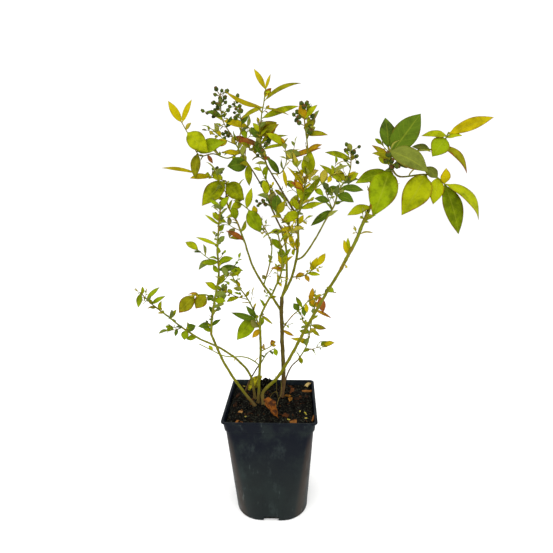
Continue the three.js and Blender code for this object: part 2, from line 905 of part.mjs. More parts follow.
// Height of the compost: crumbly, a little mounded, and level where a cane or a fallen leaf sits.
function groundAt(x, y) {
  const places = [...FEET, ...LITTER.map(({ at }) => at)];
  if (places.some((at) => Math.hypot(x - at[0], y - at[1]) < LEVEL_RADIUS)) return GROUND;
  const clods = CLOD_HEIGHT * Math.sin(0.31 * x + 0.7) * Math.cos(0.27 * y);
  const crumbs = CRUMB_HEIGHT * Math.sin(0.11 * x * y);
  const dip = EDGE_DIP * (Math.max(Math.abs(x), Math.abs(y)) / POT.bodyTopHalf) ** 4;
  return GROUND + clods + crumbs - dip;
}

function compostSolid() {
  const block = new THREE.BoxGeometry(2, 2, 2, GROUND_DIVISIONS, GROUND_DIVISIONS, 2);
  const position = block.attributes.position;
  const levels = [
    [POT.floor + GAP, POT.baseHalf, POT.baseCorner],
    [COLLAR_FOOT - 1, POT.bodyTopHalf, POT.bodyTopCorner],
    [GROUND, POT.collarTopHalf - 1, POT.lipCorner + 1],
  ];
  for (let i = 0; i < position.count; i++) {
    const [u, v] = [position.getX(i), position.getY(i)];
    const [z, half, corner] = levels[Math.round(position.getZ(i)) + 1];
    const reach = Math.max(Math.abs(u), Math.abs(v));
    const inside = half - POT.wall - SIDE_CLEARANCE;
    const size = reach === 0 ? 0 : reach * roundedReach(u / reach, v / reach, inside, corner);
    const [x, y] = reach === 0 ? [0, 0] : [(u / reach) * size, (v / reach) * size];
    position.setXYZ(i, x, y, z === GROUND ? groundAt(x, y) : z);
  }
  const housings = [0, 1, 2, 3].map((quarter) =>
    notchBox(quarter, NOTCH.wall + GAP, NOTCH.height + NOTCH.roof + GAP, 0),
  );
  return housings.reduce((soil, housing) => soil.subtract(housing), solidFrom(block));
}

// How far the edge of a rounded square lies in the direction (u, v), in lengths of (u, v), where
// the larger of u and v is 1.
function roundedReach(u, v, half, corner) {
  const straight = half - corner;
  const small = Math.min(Math.abs(u), Math.abs(v));
  if (small * half <= straight) return half;
  const a = 1 + small * small;
  const b = straight * (1 + small);
  return (b + Math.sqrt(b * b - a * (2 * straight * straight - corner * corner))) / a;
}

function litterSolid({ at, heading, length, width }) {
  const direction = headingVector(heading, 6);
  const root = new THREE.Vector3(at[0], at[1], 0).addScaledVector(direction, -length / 2);
  root.setZ(GROUND + GAP + LEAF_ROOT);
  return leafSolid({ root, direction, face: faceOf(direction, FRONT, 0), length, width });
}

// ---- Growing the plant --------------------------------------------------------------------------

const grown = new Map(); // every stem by name: where it grows from, its curve, solid and space
const taken = []; // every solid on the plant so far, with the node that owns it

const boxesMeet = (a, b) =>
  [0, 1, 2].every((axis) => a.min[axis] <= b.max[axis] && b.min[axis] <= a.max[axis]);

// Whether a solid keeps clear of all other nodes.
function isClear(solid, owner) {
  const box = solid.boundingBox();
  return taken.every(
    (other) =>
      other.owner === owner ||
      !boxesMeet(box, other.box) ||
      solid.intersect(other.solid).isEmpty(),
  );
}

function take(solid, owner) {
  taken.push({ solid, owner, box: solid.boundingBox() });
}

// Grows one stem from the compost or from its parent, and cuts its end to sit on the parent.
function growStem({ name, foot, from, through, radius }, sides, stepLength) {
  const parent = from && grown.get(from[0]);
  const start = foot
    ? new THREE.Vector3(foot[0], foot[1], GROUND + GAP)
    : parent.curve.getPointAt(from[1]);
  const curve = curveThrough([start, ...through.map(point)]);
  const steps = Math.max(2, Math.round(curve.getLength() / stepLength));
  const flare = foot ? ROOT_FLARE : 0;
  let solid = stemSolid(curve, radius, sides, steps, flare);
  if (parent) solid = solid.subtract(parent.space);
  for (const other of grown.values()) {
    const twin = from && other.from && other.from[0] === from[0];
    const near = twin && Math.abs(other.from[1] - from[1]) < NEIGHBOUR_SHARE;
    if (near) solid = solid.subtract(other.space);
  }
  if (foot) solid = solid.subtract(groundBlock());
  const space = stemSolid(curve, radius, sides, steps, flare, GAP);
  grown.set(name, { from, curve, solid, space });
  take(solid, name);
}

// Everything under the level cut of the canes.
function groundBlock() {
  return solidFrom(new THREE.BoxGeometry(300, 300, 20).translate(0, 0, GROUND + GAP - 10));
}

// The direction that leaves a stem at a given share, angle round it and angle to it.
function offshoot(curve, share, round, tilt) {
  const tangent = curve.getTangentAt(share);
  const side = tangent.clone().cross(FRONT).normalize();
  const over = side.clone().cross(tangent);
  return tangent
    .multiplyScalar(Math.cos(radians(tilt)))
    .addScaledVector(side, Math.sin(radians(tilt)) * Math.cos(radians(round)))
    .addScaledVector(over, Math.sin(radians(tilt)) * Math.sin(radians(round)))
    .normalize();
}

// Adds a leaf to a spray if it keeps to the spray's own space.
function addLeaf(name, parts, leaf) {
  if (!isClear(leafSolid(leaf, GAP), name)) return;
  const solid = leafSolid(leaf);
  parts.push(solid);
  take(solid, name);
}

function growLargeLeaves({ name, leaves }, parts) {
  const { curve } = grown.get(name);
  for (const [share, heading, rise, length, width, tilt, bend] of leaves) {
    const direction = headingVector(heading, rise);
    const root = curve.getPointAt(Math.min(share, LAST_LEAF));
    const face = faceOf(direction, FRONT, tilt);
    addLeaf(name, parts, { root, direction, face, length, width, bend });
  }
}

function ordinaryLeaf(curve, share, round, size, random) {
  const sideTilt = within(LEAF_TILT, random);
  const tilt = share === 1 ? END_LEAF_TILT : sideTilt;
  const direction = offshoot(curve, Math.min(share, LAST_LEAF), round, tilt);
  const length = size * within(LEAF_SIZE, random);
  const outward = headingVector(360 * random(), 0);
  const face = faceOf(direction, outward, within(FACE_TILT, random));
  const root = curve.getPointAt(Math.min(share, LAST_LEAF));
  return { root, direction, face, length, width: length * LEAF_ASPECT };
}

// The rule for the rest of a spray: leaves set spirally up the stem, then side twigs.
function growByRule({ name, fill, twigs, leaf, berries = 0 }, parts, random) {
  const { curve } = grown.get(name);
  let round = 360 * random();
  for (let i = 0; i < fill; i++) {
    round += GOLDEN_ANGLE;
    addLeaf(name, parts, ordinaryLeaf(curve, (i + 0.4) / fill, round, leaf, random));
  }
  for (let i = 0; i < twigs; i++) {
    round += GOLDEN_ANGLE;
    growTwig(name, parts, curve, (i + 0.6) / (twigs + 0.2), round, leaf, random);
  }
  for (let i = 0; i < berries; i++) {
    round += GOLDEN_ANGLE;
    growBerry(name, parts, curve, 1 - (BERRY_SPREAD * i) / berries, round, random);
  }
}

function growTwig(name, parts, parentCurve, share, round, leaf, random) {
  const direction = offshoot(parentCurve, share, round, within(TWIG_TILT, random));
  const length = leaf * within(TWIG_LENGTH, random);
  const start = parentCurve.getPointAt(share);
  const bend = start.clone().addScaledVector(direction, length / 2);
  const end = bend.clone().addScaledVector(direction, length / 2).addScaledVector(UP, length / 8);
  const curve = curveThrough([start, bend, end]);
  const clear = isClear(stemSolid(curve, TWIG_RADIUS, 3, 2, 0, GAP), name);
  const solid = stemSolid(curve, TWIG_RADIUS, 3, 2);
  if (clear) {
    parts.push(solid);
    take(solid, name);
  }
  TWIG_LEAVES.forEach((along, i) => {
    const made = ordinaryLeaf(curve, along, round + i * GOLDEN_ANGLE, leaf, random);
    if (clear) addLeaf(name, parts, made);
  });
}

function growBerry(name, parts, parentCurve, share, round, random) {
  const along = Math.min(share, LAST_LEAF);
  const direction = offshoot(parentCurve, along, round, within(BERRY_TILT, random));
  const reach = within(BERRY_REACH, random);
  const root = parentCurve.getPointAt(along);
  const centre = root.clone().addScaledVector(direction, reach + BERRY_RADIUS);
  const size = BERRY_RADIUS * within(BERRY_SIZE, random);
  if (!isClear(sphereSolid(centre, size + GAP), name)) return;
  const middle = root.clone().lerp(centre, 0.5);
  const stalk = stemSolid(curveThrough([root, middle, centre]), [STALK_RADIUS, STALK_RADIUS], 3, 1);
  if (!isClear(stalk, name)) return;
  const solid = sphereSolid(centre, size).add(stalk);
  parts.push(solid);
  take(solid, name);
}

// ---- The finished group -------------------------------------------------------------------------

const bush = new THREE.Group();
bush.name = "blueberry_bush_in_pot";

// Keeps the one main body of a solid: loose scraps go, a hollow that fusing sealed is filled, and
// so do the small facets that joining leaves.
function mainBody(solid) {
  const largest = (bodies) => bodies.reduce((a, b) => (b.volume() > a.volume() ? b : a));
  const main = largest(solid.decompose());
  return largest(main.asOriginal().simplify(FACET_TOLERANCE).decompose());
}

function addPiece(name, solid, colour, roughness) {
  const mesh = mainBody(solid).getMesh();
  const geometry = new THREE.BufferGeometry();
  geometry.setAttribute("position", new THREE.BufferAttribute(mesh.vertProperties, 3));
  geometry.setIndex(new THREE.BufferAttribute(mesh.triVerts, 1));
  geometry.computeVertexNormals();
  const material = new THREE.MeshStandardMaterial({ color: colour, roughness, metalness: 0 });
  const piece = new THREE.Mesh(geometry, material);
  piece.name = name;
  bush.add(piece);
}

addPiece("pot", potSolid(), COLOURS.pot, ROUGHNESS.pot);
addPiece("compost", compostSolid(), COLOURS.compost, ROUGHNESS.compost);
for (const item of LITTER) {
  const solid = litterSolid(item);
  take(solid, item.name);
  addPiece(item.name, solid, item.colour, ROUGHNESS.litter);
}

for (const limb of LIMBS) {
  growStem(limb, LIMB_SIDES, LIMB_STEP);
  addPiece(limb.name, grown.get(limb.name).solid, limb.colour, ROUGHNESS.bark);
}
for (const spray of SPRAYS) growStem(spray, SPRAY_SIDES, SPRAY_STEP);

// The large leaves of every spray come first, so that the rule fills in round them.
const partsOf = new Map(SPRAYS.map(({ name }) => [name, []]));
for (const spray of SPRAYS) growLargeLeaves(spray, partsOf.get(spray.name));
SPRAYS.forEach((spray, i) => growByRule(spray, partsOf.get(spray.name), randomFrom(101 + i)));
for (const { name, tint } of SPRAYS) {
  const fused = partsOf.get(name).reduce((all, part) => all.add(part), grown.get(name).solid);
  addPiece(name, fused, COLOURS[tint], ROUGHNESS.leaf);
}

export default bush;
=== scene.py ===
"""A young blueberry bush in its square nursery pot, dressed over the construction model.

The canes, boughs and sprays follow the same table of stems and the same seeded rule as the solids,
carried on to petioles, small axil leaves, fine twigs, buds and crowned berries.
"""

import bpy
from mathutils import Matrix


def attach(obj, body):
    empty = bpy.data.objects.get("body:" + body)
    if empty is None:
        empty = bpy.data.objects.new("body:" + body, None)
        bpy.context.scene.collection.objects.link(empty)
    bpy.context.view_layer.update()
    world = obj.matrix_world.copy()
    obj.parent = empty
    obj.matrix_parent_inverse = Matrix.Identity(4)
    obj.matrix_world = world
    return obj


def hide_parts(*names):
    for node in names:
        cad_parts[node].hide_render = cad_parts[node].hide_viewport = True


bl_info = {
    "name": "Potted Blueberry Bush",
    "version": (1, 0, 0),
    "blender": (4, 5, 0),
    "location": "View3D > Sidebar > Blueberry",
    "description": "Builds a blueberry bush in a nursery pot: pot, compost, canes, leaves and berries",
    "category": "Add Mesh",
}

import math
from bisect import bisect_right

import bmesh
import bpy
from bpy.props import FloatProperty, FloatVectorProperty, IntProperty, PointerProperty
from mathutils import Euler, Matrix, Vector, noise

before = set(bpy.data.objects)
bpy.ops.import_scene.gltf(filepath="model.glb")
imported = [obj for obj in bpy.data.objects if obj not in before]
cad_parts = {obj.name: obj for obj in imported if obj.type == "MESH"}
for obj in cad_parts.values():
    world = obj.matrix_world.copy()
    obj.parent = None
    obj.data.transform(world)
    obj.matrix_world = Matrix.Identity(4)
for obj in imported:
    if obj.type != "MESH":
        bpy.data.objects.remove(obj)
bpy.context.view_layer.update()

NOISE_SEED = 7
noise.seed_set(NOISE_SEED)  # without it, noise_vector is shifted by the clock and differs each run

MM = 0.001
UP = Vector((0, 0, 1))
FRONT = Vector((0, -1, 0))
END_ON = 0.05  # below this length, a leaf's face direction is taken from the front instead


# ---- Sizes of the pot and compost, in millimetres ----

POT = dict(
    height=162, lip_half=65, lip_corner=7, lip_thickness=2, collar_height=15.3, collar_top_half=62.8,
    collar_foot_half=61.35, body_top_half=59.95, body_top_corner=9, base_half=52.2, base_corner=38,
    base_edge=1.2, wall=1.1, floor=1.8,
)
NOTCH = dict(width=21.5, height=6.5, depth=12, roof=1.5, wall=1.2, past=4, below=1)
DRAIN = dict(radius=4.5, out=27, sides=24)
COLLAR_FOOT = POT["height"] - POT["collar_height"]
STEP = POT["collar_foot_half"] - POT["body_top_half"]
ARC_STEPS = 14
SIDE_SHARES = (0.05, 0.35, 0.65, 0.95)
SHARP_ANGLE, SPLIT_ANGLE = math.radians(35), math.radians(40)
GROUND = 158
STEM_LIFT = 0.3  # the stems start this far above the compost's level

# ---- The plant's stems, in millimetres and degrees ----
# grows_from is the parent stem and the share of its length; through are the points it bends through.

LIMBS = [
    dict(name="cane_left", foot=(-24, -10), radius=(2, 1.6),
        through=[(-40, -12, 182), (-62, -18, 223), (-79, -26, 273)]),
    dict(name="cane_low_left", foot=(-25, 10), radius=(1.9, 1.4),
        through=[(-31, 14, 192), (-47, 18, 213), (-74, 22, 232), (-107, 24, 247)]),
    dict(name="cane_centre_left", foot=(-19, -1), radius=(2.1, 1.7),
        through=[(-17, -5, 196), (-13, -10, 244), (-13, -13, 274)]),
    dict(name="cane_centre", foot=(15, 15), radius=(3.1, 2.7), brown=True,
        through=[(18, 15, 190), (17, 15, 230), (16, 13, 290), (17, 12, 315)]),
    dict(name="cane_right", foot=(-11, -7), radius=(2.4, 1.8),
        through=[(-12, 0, 174), (6, 0, 193), (22, -4, 219), (62, -34, 307), (91, -66, 371)]),
    dict(name="shoot_back", foot=(17, 43), radius=(1.3, 1), brown=True,
        through=[(22, 44, 178), (29, 46, 193), (40, 50, 203)]),
    dict(name="shoot_fine", foot=(-42, 30), radius=(1.2, 0.9), brown=True,
        through=[(-35, 28, 177), (-22, 18, 203), (-13, 8, 219)]),
    dict(name="bough_centre_left", grows_from=("cane_centre", 0.86), radius=(1.9, 1.3),
        through=[(4, 20, 311), (-12, 28, 332), (-27, 36, 358), (-38, 46, 389)]),
    dict(name="bough_centre_back", grows_from=("cane_centre", 1), radius=(1.8, 1.4),
        through=[(23, 17, 335), (24, 21, 357), (23, 27, 383), (17, 33, 408)]),
    dict(name="bough_centre_right", grows_from=("cane_centre", 1), radius=(1.9, 1.5),
        through=[(30, 4, 343), (37, -4, 371), (40, -12, 399), (39, -20, 431)]),
    dict(name="bough_upper_left", grows_from=("bough_centre_back", 1), radius=(1.3, 1), brown=True,
        through=[(5, 40, 433), (-11, 50, 468), (-28, 58, 496)]),
    dict(name="bough_crossing", grows_from=("bough_centre_right", 1), radius=(1.3, 1), brown=True,
        through=[(27, -14, 450), (12, -10, 475), (0, -8, 495)]),
    dict(name="bough_back_right", grows_from=("bough_centre_right", 0.5), radius=(1.4, 1.1),
        through=[(48, 4, 376), (64, 22, 396), (80, 38, 422)]),
]


def spray(name, parent, share, radius, tint, through, leaves=(), **rule):
    """A spray's row: its parent and place on it, its stem, tint and own leaves, and the rule's figures."""
    stem = dict(name=name, grows_from=(parent, share), radius=radius, through=through)
    return dict(stem, tint=tint, leaves=leaves, **rule)


# A spray's own leaves are (share of the stem, heading, rise, length, width, tilt, tint), with the arch
# of a strongly bent one last. fill, twigs, leaf and berries feed the rule, and a bare spray has no
# small leaves in its axils.

SPRAYS = [
    spray("left_cane_low_spray", "cane_left", 1, (1.5, 1.3), "dark", fill=6, leaf=15, twigs=1,
        through=[(-76, -30, 297), (-70, -34, 326)],
        leaves=[(0.95, -15, 0, 16, 9, 60, "green"), (0.26, -165, 0, 18, 9, 60, "dark")]),
    spray("left_cane_middle_spray", "left_cane_low_spray", 1, (1.25, 1.1), "dark", fill=8, leaf=17, twigs=2,
        through=[(-63, -37, 358), (-63, -40, 391)],
        leaves=[(0.76, -165, 0, 21, 9, 60, "green"), (0.76, 15, 15, 20, 9, 60, "green"),
            (0.6, -10, 10, 27, 9, 60, "dark")]),
    spray("left_cane_top_spray", "left_cane_middle_spray", 1, (1.05, 0.7), "dark", fill=8, leaf=14, twigs=1,
        through=[(-59, -43, 423), (-55, -46, 447)],
        leaves=[(1, -30, 45, 18, 9, 70, "green"), (1, 165, 30, 18, 5, 60, "green"),
            (0.57, 165, 35, 23, 4, 60, "lime"), (0.11, 170, 20, 31, 5, 60, "lime")]),
    spray("left_hanging_spray", "left_cane_low_spray", 0.97, (0.8, 0.6), "yellow", fill=2, leaf=13,
        through=[(-82, -38, 332), (-100, -44, 332)],
        leaves=[(0.85, -158, -45, 30, 18, 80, "olive"), (0.42, -145, -48, 22, 17, 80, "olive"),
            (0.33, 35, -45, 10, 10, 70, "dark")]),
    spray("low_left_middle_spray", "cane_low_left", 1, (1.3, 1), "dark", fill=5, leaf=14, twigs=1,
        through=[(-131, 22, 265), (-154, 16, 288)],
        leaves=[(0.84, 25, 55, 16, 6, 60, "lime"), (0.39, -115, -70, 15, 12, 60, "green"),
            (0.39, 20, 20, 16, 12, 60, "dark")]),
    spray("low_left_end_spray", "low_left_middle_spray", 1, (0.95, 0.6), "green", fill=7, leaf=13,
        through=[(-171, 8, 307), (-183, 2, 325)],
        leaves=[(1, -120, -70, 21, 9, 75, "green"), (0.73, 20, 40, 25, 7, 60, "green"),
            (0.52, -15, 30, 27, 7, 60, "green")]),
    spray("inner_left_spray", "cane_centre_left", 1, (1, 0.6), "green", fill=8, leaf=17, twigs=1,
        through=[(-22, -4, 299), (-32, 4, 316), (-45, 10, 332), (-56, 14, 351)],
        leaves=[(0.15, -174, 20, 38, 9, 70, "dark"), (0.2, -148, 52, 24, 8, 70, "dark"),
            (0.22, -155, -47, 42, 20, 80, "green"), (0.02, -147, -41, 16, 8, 80, "orange")]),
    spray("centre_left_spray", "cane_centre_left", 1, (1.4, 1.2), "green", fill=4, leaf=13,
        through=[(-12, -16, 294), (-4, -22, 313), (6, -28, 331)],
        leaves=[(0.38, -15, -35, 21, 4, 60, "olive")]),
    spray("centre_left_top_spray", "centre_left_spray", 1, (1.15, 0.7), "lime", fill=9, leaf=16, twigs=2,
        through=[(18, -36, 361), (19, -42, 386), (14, -48, 417)],
        leaves=[(0.43, -160, 5, 15, 5, 60, "orange"), (0.46, 140, 65, 17, 5, 60, "yellow")]),
    spray("centre_bough_spray", "bough_centre_left", 1, (1.25, 0.8), "green", fill=8, leaf=19, twigs=3,
        through=[(-49, 52, 418), (-63, 56, 444), (-64, 60, 477)],
        leaves=[(0.98, -15, -42, 36, 24, 75, "lime"), (0.03, -166, 31, 30, 8, 60, "rust", 0.14),
            (0.38, -100, 70, 25, 12, 60, "green")]),
    spray("middle_left_spray", "bough_centre_left", 0.4, (0.9, 0.6), "green", fill=6, leaf=14, twigs=1,
        through=[(0, 27, 363), (2, 29, 389), (-11, 32, 417), (-29, 36, 436), (-51, 40, 453)],
        leaves=[(0.82, -25, -59, 37, 21, 80, "green"), (0.84, -30, 72, 30, 10, 80, "lime"),
            (0.9, -162, -9, 15, 12, 70, "lime")]),
    spray("rear_spray", "bough_centre_back", 0.85, (0.9, 0.6), "green", fill=8, leaf=14, twigs=2,
        through=[(29, 52, 420), (32, 74, 448)]),
    spray("front_centre_spray", "bough_centre_right", 0.8, (0.9, 0.6), "green", fill=6, leaf=17, twigs=2,
        through=[(24, -26, 424), (11, -36, 439)]),
    spray("thin_left_spray", "centre_bough_spray", 1, (0.75, 0.5), "lime", fill=3, leaf=16,
        through=[(-86, 52, 483), (-106, 46, 489)],
        leaves=[(1, -175, 10, 49, 6, 60, "yellow"), (0.52, -160, 0, 29, 9, 60, "yellow"),
            (0.03, -156, -43, 50, 27, 75, "lime")]),
    spray("heart_spray", "bough_upper_left", 0.3, (0.9, 0.6), "dark", fill=7, leaf=13, twigs=2, bare=True,
        through=[(1, 38, 466), (-6, 34, 482)],
        leaves=[(0.1, -80, 72, 25, 14, 80, "dark")]),
    spray("upper_left_spray", "bough_upper_left", 1, (0.95, 0.8), "green", fill=7, leaf=18, twigs=2,
        through=[(-43, 63, 518), (-54, 68, 540)],
        leaves=[(0.12, -168, -6, 30, 21, 86, "dark"), (0.1, -80, -80, 31, 11, 80, "lime"),
            (0.46, -170, 5, 27, 9, 60, "yellow"), (0.97, -15, -20, 28, 10, 60, "rust")]),
    spray("upper_left_berry_spray", "upper_left_spray", 1, (0.75, 0.6), "dark", fill=6, leaf=14, berries=10,
        through=[(-67, 71, 561), (-70, 74, 582), (-70, 76, 600)],
        leaves=[(0.4, -11, -16, 43, 12, 60, "yellow"), (0.49, -165, 20, 23, 9, 60, "dark")]),
    spray("far_left_spray", "upper_left_spray", 0.5, (0.8, 0.55), "lime", fill=5, leaf=16,
        through=[(-60, 58, 509), (-80, 52, 515), (-99, 48, 513), (-110, 44, 537), (-121, 42, 559)],
        leaves=[(0.85, -23, -40, 42, 25, 75, "lime"), (0.6, -11, 17, 45, 21, 70, "green"),
            (0.58, -113, -75, 36, 14, 75, "olive"), (1, -167, 59, 34, 11, 80, "yellow"),
            (1, 20, 65, 35, 8, 80, "yellow")]),
    spray("right_centre_spray", "bough_centre_right", 1, (1.2, 0.9), "lime", fill=9, leaf=19, twigs=3,
        through=[(45, -24, 448), (48, -28, 468), (51, -31, 488)],
        leaves=[(0.88, -50, 75, 31, 17, 80, "lime"), (0.59, -155, 30, 21, 7, 60, "rust"),
            (0.32, 20, 55, 30, 9, 60, "green"), (0.32, 25, 50, 46, 8, 60, "lime"),
            (0.65, -165, 50, 34, 4, 60, "yellow"), (0.18, -12, 15, 30, 9, 60, "lime"),
            (0.1, -160, -28, 27, 14, 70, "lime"), (0.5, -140, 50, 24, 9, 70, "orange")]),
    spray("right_centre_berry_spray", "right_centre_spray", 1, (0.85, 0.6), "green", fill=4, leaf=15,
        twigs=1, berries=6,
        through=[(51, -36, 516), (48, -40, 540), (46, -42, 559)],
        leaves=[(0.33, -20, 20, 19, 7, 60, "orange"), (0.58, -10, 0, 26, 9, 60, "olive"),
            (0.6, -26, 56, 17, 12, 60, "olive"), (0.82, -15, 45, 22, 7, 60, "lime"),
            (0.82, -142, 68, 18, 10, 70, "orange")]),
    spray("high_spray", "bough_crossing", 1, (0.95, 0.85), "green", fill=8, leaf=14, twigs=3, berries=2,
        bare=True,
        through=[(-6, -8, 515), (-8, -10, 533)],
        leaves=[(0.95, -15, 30, 28, 13, 70, "olive"), (0.85, 155, 50, 22, 11, 70, "dark"),
            (0.59, -170, 25, 31, 8, 60, "rust"), (0.37, -150, 50, 18, 9, 70, "dark"),
            (0.78, 15, 15, 37, 6, 60, "lime"), (0.53, -15, 10, 35, 5, 60, "lime")]),
    spray("top_spray", "high_spray", 1, (0.8, 0.55), "yellow", fill=3, leaf=14,
        through=[(-5, -14, 556), (-2, -16, 569), (1, -20, 586)],
        leaves=[(1, 165, 60, 29, 7, 80, "yellow"), (1, -30, 65, 18, 4, 80, "yellow"),
            (0.72, -5, 25, 50, 6, 70, "olive", 0.18), (0.6, -173, 23, 50, 7, 60, "yellow", -0.15),
            (0.6, -163, -26, 31, 7, 60, "olive"), (0.35, 5, 19, 50, 9, 70, "lime")]),
    spray("back_right_spray", "bough_back_right", 1, (1.05, 0.85), "dark", fill=6, leaf=18, twigs=2,
        berries=3,
        through=[(92, 46, 441), (99, 54, 462), (109, 58, 476)],
        leaves=[(0.78, -168, -12, 23, 11, 60, "dark"), (0.9, -170, 40, 44, 9, 60, "lime"),
            (1, 150, 50, 24, 10, 60, "olive"), (0.98, 15, 30, 24, 11, 60, "lime"),
            (0.61, -20, -20, 26, 16, 60, "dark"), (0.78, 10, -5, 36, 12, 60, "dark"),
            (0.25, -168, -35, 38, 11, 70, "dark")]),
    spray("back_right_berry_spray", "back_right_spray", 1, (0.8, 0.6), "lime", fill=4, leaf=16, berries=6,
        through=[(116, 62, 494), (116, 68, 522)],
        leaves=[(0.62, 170, 20, 40, 10, 60, "lime")]),
    spray("right_cane_spray", "cane_right", 1, (1.75, 1.55), "yellow", fill=3, leaf=14,
        through=[(105, -88, 409), (110, -97, 427)],
        leaves=[(0.34, 145, 70, 19, 7, 80, "yellow")]),
    spray("right_lower_spray", "right_cane_spray", 1, (1.5, 1.2), "green", fill=7, leaf=18,
        through=[(117, -108, 449), (125, -116, 467), (133, -122, 487)],
        leaves=[(0.93, -170, -15, 36, 14, 50, "green"), (0.97, -135, -60, 52, 29, 72, "green"),
            (0.34, 170, -20, 26, 12, 50, "lime")]),
    spray("right_upper_spray", "right_lower_spray", 1, (1.1, 0.8), "green", fill=2, leaf=14,
        through=[(132, -124, 497), (129, -124, 507)],
        leaves=[(1, 125, 80, 30, 17, 70, "dark"), (0.61, 10, 53, 50, 25, 70, "dark"),
            (0.83, -22, -27, 44, 24, 60, "sage"), (0.28, -170, 40, 26, 7, 60, "olive"),
            (0.37, -145, 15, 26, 8, 60, "olive")]),
    spray("right_end_spray", "right_lower_spray", 1, (0.9, 0.6), "lime", fill=3, leaf=15,
        through=[(146, -119, 498), (158, -117, 503), (172, -118, 504), (182, -122, 508), (187, -126, 520)],
        leaves=[(0.97, -9, 20, 44, 12, 70, "yellow"), (0.94, 165, 5, 24, 11, 50, "lime"),
            (0.91, -160, -50, 22, 19, 65, "green"), (0.92, -35, 5, 15, 9, 50, "lime"),
            (0.78, -26, -42, 38, 9, 60, "olive", 0.22), (0.64, 165, 15, 18, 9, 60, "sage"),
            (0.1, 20, -10, 18, 10, 60, "dark")]),
    spray("right_hanging_spray", "right_lower_spray", 1, (0.85, 0.6), "lime", fill=1, leaf=14,
        through=[(145, -112, 478), (167, -118, 480), (179, -122, 477), (187, -128, 469)],
        leaves=[(0.66, -148, -52, 49, 27, 75, "lime"), (0.83, -116, -61, 29, 15, 75, "lime"),
            (0.83, 160, 40, 18, 13, 60, "sage"), (0.97, -100, 70, 16, 10, 70, "yellow"),
            (1, -31, -69, 53, 19, 75, "green"), (1, -14, -44, 50, 15, 50, "lime", 0.22)]),
    spray("back_shoot_spray", "shoot_back", 1, (0.95, 0.6), "lime", fill=9, leaf=15, twigs=3,
        through=[(54, 55, 226), (60, 58, 257), (66, 60, 292)],
        leaves=[(0.95, 160, 60, 19, 7, 70, "orange"), (0.97, -26, 7, 15, 10, 70, "orange"),
            (0.9, -12, -24, 31, 5, 60, "orange")]),
    spray("inner_right_spray", "cane_centre", 0.67, (0.8, 0.5), "dark", fill=4, leaf=13,
        through=[(24, 8, 279), (34, 4, 292), (45, 0, 302), (53, -3, 312), (67, -7, 320), (80, -11, 328),
            (91, -14, 328)],
        leaves=[(0.42, 150, 45, 13, 9, 70, "dark"), (0.5, -60, -75, 14, 7, 80, "dark"),
            (0.64, 20, 80, 18, 7, 80, "orange"), (0.56, -50, -80, 14, 6, 80, "yellow"),
            (0.97, 150, 30, 13, 8, 70, "green")]),
    spray("yellow_side_spray", "bough_centre_right", 0.28, (0.75, 0.5), "yellow", fill=3, leaf=13,
        through=[(49, -8, 351), (66, -20, 367)],
        leaves=[(0.71, -30, 65, 21, 9, 70, "yellow"), (0.97, 20, 55, 20, 9, 70, "yellow"),
            (0.57, -25, 0, 18, 6, 60, "lime")]),
    spray("yellow_short_spray", "bough_centre_right", 0.62, (0.65, 0.5), "yellow", fill=2, leaf=14,
        through=[(34, -14, 388)],
        leaves=[(0.9, -145, 70, 25, 7, 70, "yellow")]),
    spray("bare_left_spray", "cane_centre_left", 0.52, (0.8, 0.5), "yellow", fill=3, leaf=9, bare=True,
        through=[(-23, -18, 231), (-35, -26, 240), (-58, -38, 246), (-75, -46, 258), (-90, -52, 269)]),
    spray("small_centre_spray", "cane_centre_left", 0.72, (0.7, 0.5), "rust", fill=2, leaf=9,
        through=[(0, -14, 250), (8, -18, 258)],
        leaves=[(0.86, -110, 50, 11, 8, 60, "orange")]),
    spray("fine_shoot_spray", "shoot_fine", 1, (0.8, 0.5), "dark", fill=2, leaf=10,
        through=[(-4, 2, 235), (7, -4, 244)],
        leaves=[(1, -35, -70, 11, 7, 80, "green")]),
    spray("crossing_side_spray", "bough_crossing", 0.85, (0.7, 0.5), "lime", fill=4, leaf=14,
        through=[(18, -12, 486), (25, -15, 499), (24, -16, 514), (23, -17, 522)],
        leaves=[(1, -170, 30, 27, 11, 70, "lime"), (0.8, -15, -15, 22, 10, 60, "sage"),
            (0.6, -8, 18, 46, 8, 60, "orange"), (0.35, -60, -70, 24, 5, 60, "yellow")]),
    spray("upper_middle_berry_spray", "upper_left_spray", 0.76, (0.7, 0.5), "dark", fill=4, leaf=13,
        berries=5,
        through=[(-41, 56, 541), (-38, 50, 559), (-43, 46, 572), (-47, 44, 583)],
        leaves=[(0.5, -20, 50, 18, 9, 70, "dark")]),
]

# ---- The rule's figures, in millimetres, degrees and shares ----

FIRST_SEED = 101
FINE_SEED = 5001
GOLDEN_ANGLE = 137.5
FIRST_LEAF, LAST_LEAF = 0.4, 0.97
LEAF_ASPECT = 0.5
LEAF_ARCH = 0.05
LEAF_TILT = (35, 70)
END_LEAF_TILT = 15
FACE_TILT = (15, 65)
LEAF_SIZE = (0.75, 1.25)
FIRST_TWIG, TWIG_MARGIN = 0.6, 0.2
TWIG_LIFT = 0.125
TWIG_RADIUS = (0.75, 0.45)
TWIG_LEAVES = (0.34, 0.6, 0.82, 1)
TWIG_TILT = (40, 60)
TWIG_LENGTH = (1.5, 2.3)
BERRY_RADIUS = 3
BERRY_TILT = (50, 80)
BERRY_REACH = (5, 10)
BERRY_SIZE = (0.8, 1.15)
BERRY_SPREAD = 0.55

